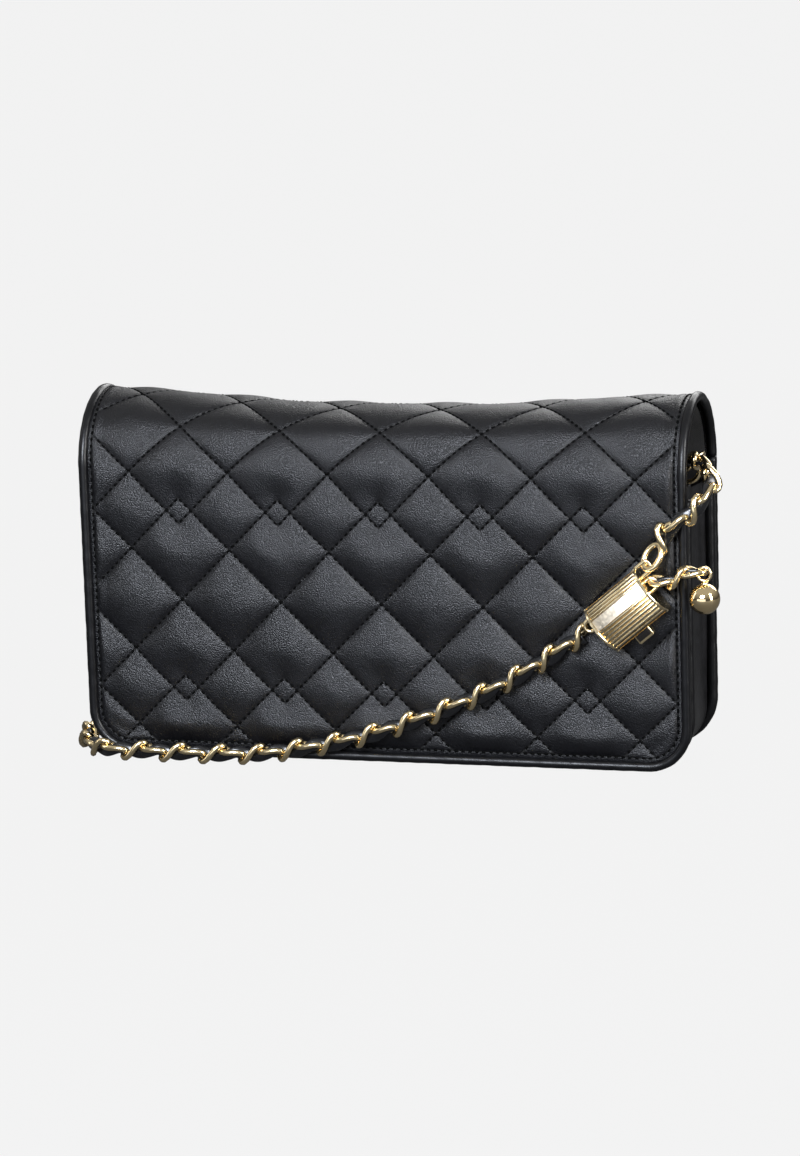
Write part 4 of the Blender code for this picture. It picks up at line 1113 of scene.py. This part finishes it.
route = u_route(BODY_HALF_WIDTH, 0.0, FRONT_WALL_TOP, BODY_CORNER, 20)
line = upright(route)
ahead = directions(line)
inwards = np.stack([-ahead[:, 2], 0 * ahead[:, 2], ahead[:, 0]], axis=1)[:, None]
side, deep = np.sign(route[:, :1]), fade(route[:, 1:], BODY_CORNER, FOLD_FULL_HEIGHT)
fold = GUSSET_FOLD * deep * np.sin(share * math.pi) ** 1.5
flare = 0.7 * MM * (pinch(1, 0.03) + pinch(0, 0.03))
seams = 0.25 * MM * (pinch(0.09, 0.025) + pinch(0.91, 0.025))
dents = 0.10 * MM * np.sin(lengths(line) * 140)[:, None] * np.sin(share * 2 * math.pi + 1)
skin = line[:, None] + inwards * (seams + np.maximum(dents, 0))[:, :, None]
skin[:, :, 0] += side * (flare * deep - fold)
skin[:, :, 1] = GUSSET_FRONT + share * (GUSSET_BACK - GUSSET_FRONT)
under = skin[:, ::-1] + inwards * GUSSET_THICKNESS * 0.9
strip = lofted("side_strip", drawn_in(np.concatenate([skin, under], axis=1)), GUSSET_LEATHER)
seat(strip, "bag", "black_leather", "gusset")
print("the side strip's length, mm:", round(1000 * lengths(line)[-1], 1))

# %% [markdown]
# ## The linings
#
# The body's lining is a flat bag of twill with its top open: rings of points, each a rectangle
# with round corners, go up the outside and down the inside. The flap's lining is one smooth
# sheet that follows the saddle 0.7 mm thick, and sinks with the crest as the leather does.

# %% The lining inside the body
LINING_HALF_WIDTH = 0.1008
LINING_WALL = 0.6 * MM
low, high, _ = box_of("body_lining")
base, top = low[2], high[2]
turn = np.linspace(0, 2 * math.pi, 96, endpoint=False)


def lining_ring(half_width, inset, z):
    """A rectangle with round corners at one height, as a squared circle, set in by the inset
    from the lining's front and back."""
    front, back = low[1] + inset, high[1] - inset
    x = half_width * squared(np.cos(turn), 0.25)
    y = (front + back) / 2 + (back - front) / 2 * squared(np.sin(turn), 0.25)
    return np.stack([x, y, np.full_like(x, z)], axis=1)


levels = base + (top - base) * np.linspace(0, 1, 26) ** 1.6
below = np.maximum(base + BODY_CORNER - levels, 0)
half_widths = LINING_HALF_WIDTH - (BODY_CORNER - np.sqrt(np.maximum(BODY_CORNER**2 - below**2, 0)))
foot = lining_ring(LINING_HALF_WIDTH - 0.8 * BODY_CORNER, 2 * MM, base)
outer = [lining_ring(half, 0, z) for half, z in zip(half_widths, levels)]
inner = [
    lining_ring(half - LINING_WALL, LINING_WALL, max(z, base + LINING_WALL))
    for half, z in zip(half_widths[::-1], levels[::-1])
]
inside_floor = lining_ring(0.02, 9 * MM, base + LINING_WALL)
rings = [foot * [0.2, 0.2, 1] + [0, 1 * MM, 0], foot, *outer, *inner, inside_floor]
seat(lofted("twill_body_lining", rings, LINING), "bag", "black_lining", "body_lining")
print("rings in the body's lining:", len(rings))

# %% The lining under the flap
LINING_OUTER, LINING_INNER = 0.0225, 0.0218
columns = [[-PANEL_HALF_WIDTH], np.linspace(-0.104, 0.104, 70), [PANEL_HALF_WIDTH]]
rows = [np.linspace(PANEL_BOTTOM, ARCH_Z, 50), np.linspace(ARCH_Z, HINGE_ALONG, 34)[1:]]
x, along = np.meshgrid(np.concatenate(columns), np.concatenate(rows))
x, along, _ = round_corners(x, along, PANEL_HALF_WIDTH, PANEL_BOTTOM, INNER_CORNER)
faces = grid_faces(2 * len(x), x.shape[1], ring_rows=True)
both = [on_saddle(x, along, LINING_OUTER), on_saddle(x, along, LINING_INNER)[::-1]]
shell = make_mesh("twill_flap_lining", np.concatenate(both), faces, LINING)
seat(shell, "flap", "black_lining", "flap_lining")
print("faces in the flap's lining:", len(faces))

# %% [markdown]
# ## The sliding lock
#
# The lock is a small cast and polished box that slides along the chain and grips it. Its front
# is a shallow arch with fine ribs above, a flat satin band, and bolder ribs below. It is a
# section carried along a straight line: the height over the back is a circle, less a scallop
# for each rib. The ends have thin plates with a raised rim, and a push button with a dark
# enamel face stands out of the lower side.

# %% Places on the lock
LOCK_X, LOCK_Z = 0.0893, 0.0598
LOCK_TILT = math.radians(39.8)
LOCK_LENGTH, LOCK_WIDTH = 0.0215, 0.0180
LOCK_DEPTH, LOCK_SIDE_DEPTH = 0.0106, 0.0050
LOCK_BACK_Y = -(ARCH_RADIUS + 0.3 * MM)
LOCK_ALONG = np.array([math.cos(LOCK_TILT), 0, math.sin(LOCK_TILT)])
LOCK_ACROSS = np.array([math.sin(LOCK_TILT), 0, -math.cos(LOCK_TILT)])
OUT = np.array([0, -1.0, 0])


def lock_place(along, across_it, out):
    """World points from places along the lock, across it and out from its flat back."""
    along, across_it, out = (np.asarray(v, float)[..., None] for v in (along, across_it, out))
    base = np.array([LOCK_X, LOCK_BACK_Y, LOCK_Z])
    return base + along * LOCK_ALONG + across_it * LOCK_ACROSS + out * OUT


print("the lock's middle, mm:", np.round(lock_place(0, 0, LOCK_DEPTH / 2) / MM, 1))

# %% The lock's section, carried along it
BAND_FROM, BAND_TO = -0.50, -0.04
BAND_TILT = 0.1 * MM
UPPER_RIBS, UPPER_RIB_DEPTH = 4, 0.60 * MM
LOWER_RIBS, LOWER_RIB_DEPTH = 7, 0.70 * MM


def lock_section(ribbed, lip=0.0):
    """The section as (across, out): up one side, over the arch, down the other side and back,
    and which of its points are on the flat band. The arch is a circle through the sides' tops;
    a rib's scallop is what a half circle lacks in height, scaled to the rib's depth."""
    half, crown = LOCK_WIDTH / 2, LOCK_DEPTH - LOCK_SIDE_DEPTH
    radius = (half**2 + crown**2) / (2 * crown)
    share = np.linspace(-1, 1, 221)
    front = LOCK_DEPTH - radius + np.sqrt(np.maximum(radius**2 - (half * share) ** 2, 0))
    low, high = np.interp([BAND_FROM, BAND_TO], share, front) + [0, BAND_TILT]
    band = (share > BAND_FROM) & (share < BAND_TO)
    flat = low + (high - low) * (share - BAND_FROM) / (BAND_TO - BAND_FROM)
    front = np.where(band, flat, front)
    if ribbed:
        above = share < BAND_TO
        upper = np.clip((share + 1) / (BAND_FROM + 1), 0, 1) * UPPER_RIBS
        lower = np.clip((share - BAND_TO) / (1 - BAND_TO), 0, 1) * LOWER_RIBS
        rib = np.where(above, upper, lower) % 1
        depth = np.where(above, UPPER_RIB_DEPTH, LOWER_RIB_DEPTH)
        scallop = depth * (1 - np.sqrt(np.maximum(1 - (2 * rib - 1) ** 2, 0)))
        front = front - np.where(band | (np.abs(share) > 0.995), 0, scallop)
    a = np.concatenate([[-half], half * share, [half], [0.5 * half, -0.5 * half]])
    out = np.concatenate([[0], front, [0], [0, 0]])
    a = np.where(np.abs(a) > 0.999 * half, np.sign(a) * (half + lip), a)
    out = out + np.where(out > LOCK_SIDE_DEPTH * 0.9, lip, 0)
    return a, out, np.concatenate([[False], band, [False] * 3])


def carried(name, section, stations, finish, node, slots=None):
    """A section carried along the lock. Each station is (place along, inset): a small inset at
    the ends rounds the edges, and an inset to the middle closes them."""
    a, out = section
    half, middle_out = LOCK_WIDTH / 2, LOCK_DEPTH * 0.45
    rings = []
    for place, inset in [(stations[0][0], half), *stations, (stations[-1][0], half)]:
        shrink = 1 - inset / half
        rings.append(lock_place(place, a * shrink, middle_out + (out - middle_out) * shrink))
    kinds = None if slots is None else np.tile(slots.astype(int), len(rings) - 1)
    made = lofted(name, rings, finish, slots=kinds)
    made.data.set_sharp_from_angle(angle=math.radians(38))
    seat(made, "flap", "gold_metal", node)


# %% The ribbed barrel and its end plates
*section, band = lock_section(True)
half, edge = LOCK_LENGTH / 2, 0.2 * MM
stations = [(-half, edge), (-half + edge, 0), (half - edge, 0), (half, edge)]
# The flat band's faces take the satin gold, whose paler colour is a painted highlight.
carried("ribbed_barrel", section, stations, [PALE_GOLD, SATIN_HIGHLIGHT_GOLD], "lock_barrel", band)
*section, _ = lock_section(False, 0.3 * MM)
near = half + 0.05 * MM
far = near + 1.05 * MM
plate = [(near, 0.25 * MM), (near + 0.2 * MM, 0), (far - 0.25 * MM, 0), (far, 0.3 * MM)]
for sign, node in ((1, "lock_end_plate_upper"), (-1, "lock_end_plate_lower")):
    stations = [(sign * place, inset) for place, inset in plate]
    carried("rimmed_" + node, section, stations, PALE_GOLD, node)
print("section points of the lock:", len(band))

# %% The push button
BUTTON_OFFSET, BUTTON_LENGTH, BUTTON_HEIGHT = -1.0 * MM, 6.5 * MM, 3.6 * MM
BUTTON_OUT, BUTTON_IN = 3.3 * MM, 3.0 * MM
BUTTON_POWER = 0.16
INLAY_IN, INLAY_MARGIN, INLAY_LIFT = 1.8 * MM, 0.4 * MM, 0.03 * MM
turn = around(48) + math.pi / 48
long = BUTTON_LENGTH / 2 * squared(np.cos(turn), BUTTON_POWER)
tall = BUTTON_HEIGHT / 2 * squared(np.sin(turn), BUTTON_POWER)
start, end = LOCK_WIDTH / 2 - BUTTON_IN, LOCK_WIDTH / 2 + BUTTON_OUT
middle = LOCK_SIDE_DEPTH / 2
rings = [
    lock_place(BUTTON_OFFSET + long * size, start + (end - start) * at, middle + tall * size)
    for size, at in ((0.02, 0), (0.92, 0), (1, 0.12), (1, 0.94), (0.9, 1), (0.02, 1))
]
button = seat(lofted("push_button", rings, GOLD), "button", "gold_metal", "lock_button")
button.data.set_sharp_from_angle(angle=math.radians(40))
u, v = np.meshgrid(np.linspace(-1, 1, 12), np.linspace(0, 1, 8))
edge_drop = 0.06 * MM * np.maximum(np.abs(u), np.abs(2 * v - 1)) ** 8
inlay = lock_place(
    BUTTON_OFFSET + u * (BUTTON_LENGTH / 2 - INLAY_MARGIN),
    LOCK_WIDTH / 2 - INLAY_IN + v * (BUTTON_OUT + INLAY_IN - INLAY_MARGIN),
    middle + BUTTON_HEIGHT / 2 + INLAY_LIFT - edge_drop,
)
inlay = make_mesh("button_enamel", inlay, grid_faces(8, 12), ENAMEL, facing=-1)
seat(inlay, "button", "gold_metal")
print("the button stands out of the lock's side, mm:", round(1000 * BUTTON_OUT, 1))

# %% The bail and the eyes at the lock's ends
LOOP_WIRE = 0.75 * MM
BAIL_ACROSS = -7.1 * MM


def wire_loop(node, start, across_it, half_width, reach, power=1.0):
    """A bent wire out of an end of the lock: two legs and a half circle between them, which a
    power under one makes squarer."""
    t = np.linspace(-math.pi / 2, math.pi / 2, 25)
    bend = reach - half_width + half_width * squared(np.cos(t), power)
    legs = np.linspace(0, reach - half_width, 5)[:-1]
    x = np.concatenate([legs, bend, legs[::-1]])
    z = np.pad(half_width * squared(np.sin(t), power), len(legs), mode="edge")
    path = lock_place(start + np.sign(start) * x, across_it + z, LOCK_DEPTH / 2)
    seat(tube(node + "_wire", path, LOOP_WIRE, OUT, 12, GOLD), "flap", "gold_metal", node)


face = half + 1.1 * MM
wire_loop("lock_bail", face, BAIL_ACROSS, 1.9 * MM, 5.2 * MM, 0.35)
wire_loop("lock_tail_eye", face, -1.4 * MM, 2.0 * MM, 3.4 * MM)
wire_loop("lock_strap_eye", -face, -3.7 * MM, 2.0 * MM, 3.4 * MM)
print("the wires leave the lock's middle at, mm:", round(1000 * face, 2))

# %% [markdown]
# ## The tail and the ball
#
# Three loose links hang from the lock's upper end, and a hollow brass ball hangs from the last.
# The links are the same twisted ovals as the strap's, each turned about the tail's line so that
# it threads its neighbours. The ball is a turned sphere, brightly polished, with a small collar
# where its wire loop is set in. A longer plain link joins the upper strap to the lock's bail.

# %% The three loose links and the end of the strip
TAIL_TILT = math.radians(13)
TAIL_SCALE = 0.9
tail_ahead = np.array([math.cos(TAIL_TILT), 0, math.sin(TAIL_TILT)])
tail_side = np.array([-math.sin(TAIL_TILT), 0, math.cos(TAIL_TILT)])
first, second, third = (box_of(f"tail_link_{k}")[2] for k in (1, 2, 3))
third = third + np.array([-0.7, 0, 0.7]) * MM
for k, middle, steep in ((1, first, False), (2, second, True), (3, third, False)):
    path = middle + TAIL_SCALE * link_ring(steep, 36) @ np.array([tail_ahead, tail_side, OUT])
    wire = TAIL_SCALE * LINK_WIRE
    link = tube(f"loose_link_{k}", path, wire, (0.3, 0.4, 0.8), 12, GOLD, closed=True)
    seat(link, "flap", "gold_metal", f"tail_link_{k}")
strip_line = [
    first - 4.2 * MM * tail_ahead, first + 0.6 * MM * tail_side, second,
    third + 0.7 * MM * tail_side, third + 2.6 * MM * tail_ahead,
]
path = smooth_route(strip_line, 0.5 * MM)
seat(tube("tail_strip", path, 0.95 * MM, (0, 1, 0), 10, STRAP_LEATHER), "flap", "woven_chain")
print("the strip's end in the tail, mm:", round(1000 * lengths(path)[-1], 1))

# %% The last link of the upper strap, through the bail
bail_place = lock_place(face + 4.4 * MM, BAIL_ACROSS, LOCK_DEPTH / 2)
reach = upper_path[-1] - bail_place
ahead = unit(reach)
sideways = 0.9 * unit(np.cross(ahead, OUT)) + 0.43 * OUT
half_reach = np.linalg.norm(reach) / 2 + 1.2 * MM
t = around(40)[:, None]
oval = half_reach * np.cos(t) * ahead + 2.9 * MM * np.sin(t) * sideways
path = (bail_place + upper_path[-1]) / 2 + oval
hook = tube("bail_link", path, LINK_WIRE, OUT + 0.3 * ahead, 12, GOLD, closed=True)
seat(hook, "flap", "woven_chain")
print("bail link spans, mm:", round(2000 * half_reach, 1))

# %% The ball and its loop
def circle_xz(steps):
    """Points of a circle of radius one in the upright plane."""
    turn = around(steps)
    return np.stack([np.cos(turn), 0 * turn, np.sin(turn)], axis=1)


PIVOT = np.array([116.84, -31.6, 73.71]) * MM
BALL_RADIUS = 5.35 * MM
BALL_DROP = 9.05 * MM
lean = np.linspace(0, math.pi, 49)
sphere = BALL_RADIUS * np.stack([np.sin(lean), np.cos(lean)], axis=1)
sphere = sphere[(sphere[:, 0] > 1.45 * MM) | (sphere[:, 1] < 0)]
collar = np.array([(0, 0.42), (0.9, 0.42), (1.25, 0.34), (1.35, 0.15), (1.35, -0.25)]) * MM
radius, height = np.concatenate([collar + [0, BALL_RADIUS], sphere]).T[:, :, None]
spin = around(72)
rings = np.stack([radius * np.cos(spin), radius * np.sin(spin), height + 0 * spin], axis=-1)
ball = lofted("polished_ball", PIVOT - [0, 0, BALL_DROP] + rings, MIRROR_GOLD)
seat(ball, "ball", "gold_metal", "tail_ball")
path = PIVOT - [0, 0, 0.5 * MM] + 2.3 * MM * circle_xz(40)
loop = tube("ball_wire_loop", path, 0.6 * MM, (0, 1, 0), 12, GOLD, closed=True)
seat(loop, "ball", "gold_metal", "tail_ball_loop")
print("rings of points in the ball:", len(rings))

# %% [markdown]
# ## Rings, tabs and the magnetic snap
#
# At each side a folded leather tab, held by a dome rivet, carries a metal ring. A longer plain
# link joins each ring to the strap's end. Under the flap a thin magnetic snap keeps it shut. The
# rivets and the snap are turned: a profile of radius and depth is spun round an axis.

# %% Helper for turned pieces
def turned(name, profile, middle, axis, node, body):
    """A profile of (radius, depth along the axis) spun in 48 steps round a level axis."""
    axis, up = np.array(axis, float), np.array([0, 0, 1.0])
    spin = around(48)[:, None]
    ring = np.cross(axis, up) * np.cos(spin) + up * np.sin(spin)
    radius, depth = np.array(profile).T[:, :, None, None]
    made = lofted(name, middle + radius * ring + depth * axis, GOLD)
    made.data.set_sharp_from_angle(angle=math.radians(40))
    seat(made, body, "gold_metal", node)


# %% The rings with their end links, the tabs and their rivets
RING_SIZE, RING_WIRE = 4.4 * MM, 0.9 * MM
END_LINK_OUT, END_LINK_FORWARD = 3.1 * MM, 1.1 * MM
END_LINK_WIDE, END_LINK_LONG = 2.17 * MM, 7.1 * MM
RIVET_RADIUS = 2.1 * MM
turn, up, lean = around(40), around(60), np.linspace(0, math.pi / 2, 10)
for side, name in ((1, "right"), (-1, "left")):
    _, _, middle = box_of(f"side_ring_{name}")
    path = middle + RING_SIZE * circle_xz(40)
    ring = tube(f"strap_ring_{name}", path, RING_WIRE, (0, 1, 0), 14, GOLD, closed=True)
    seat(ring, f"ring_{name}", "gold_metal", f"side_ring_{name}")

    wide = END_LINK_OUT + END_LINK_WIDE * squared(np.sin(turn), 0.6)
    long = END_LINK_LONG * squared(np.cos(turn), 0.8) - side * END_LINK_FORWARD
    path = middle + np.stack([side * wide, long, wide], axis=1)
    wire = 0.9 * LINK_WIRE
    end_link = tube(f"end_link_{name}", path, wire, (-side, 0, 1), 12, GOLD, closed=True)
    seat(end_link, "bag", "woven_chain")

    low, high, middle = box_of(f"ring_tab_{name}")
    share = np.linspace(-1, 1, 15)[:, None]
    rounding = np.sqrt(np.maximum(1 - share**6, 0.0009))
    x, y = np.clip(np.cos(up) * 4, -1, 1) * rounding, share + 0 * up
    z = squared(np.sin(up), 0.5) * (0.97 + 0.03 * rounding)
    rings = middle + (high - low) / 2 * np.stack([x, y, z], axis=-1)
    tab = lofted(f"folded_tab_{name}", rings, TRIM_LEATHER)
    seat(tab, "bag", "black_leather", f"ring_tab_{name}")

    low, high, middle = box_of(f"tab_rivet_{name}")
    thick = high[0] - low[0]
    dome = [(RIVET_RADIUS * math.sin(a), thick * (math.cos(a) - 0.5)) for a in lean]
    profile = dome + [(RIVET_RADIUS, -thick / 2), (0, -thick / 2)]
    turned(f"dome_rivet_{name}", profile, middle, (side, 0, 0), f"tab_rivet_{name}", "bag")
    print("ring, end link, tab and rivet made:", name)

# %% The magnetic snap
low, high, middle = box_of("snap_socket")
rim = [(3.0, -0.5), (3.0, 0.38), (3.2, 0.5), (6.7, 0.5), (7.0, 0.3), (7.0, -0.5), (3.0, -0.5)]
profile = np.array(rim) * [MM, high[1] - low[1]]
turned("snap_socket_ring", profile, middle, (0, -1, 0), "snap_socket", "bag")
low, high, middle = box_of("snap_stud")
tip = (high[1] - low[1]) / MM
profile = np.array([
    (0, 0), (6.7, 0), (7.0, 0.2), (7.0, 0.75), (6.8, 0.9),
    (1.9, 0.9), (1.8, 0.9), (1.9, tip - 0.2), (1.4, tip), (0, tip),
]) * MM
turned("snap_stud_plate", profile, (0, low[1], middle[2]), (0, 1, 0), "snap_stud", "flap")
shown = [name for name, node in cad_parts.items() if not node.hide_render]
print("hardware made; CAD nodes still shown:", shown)
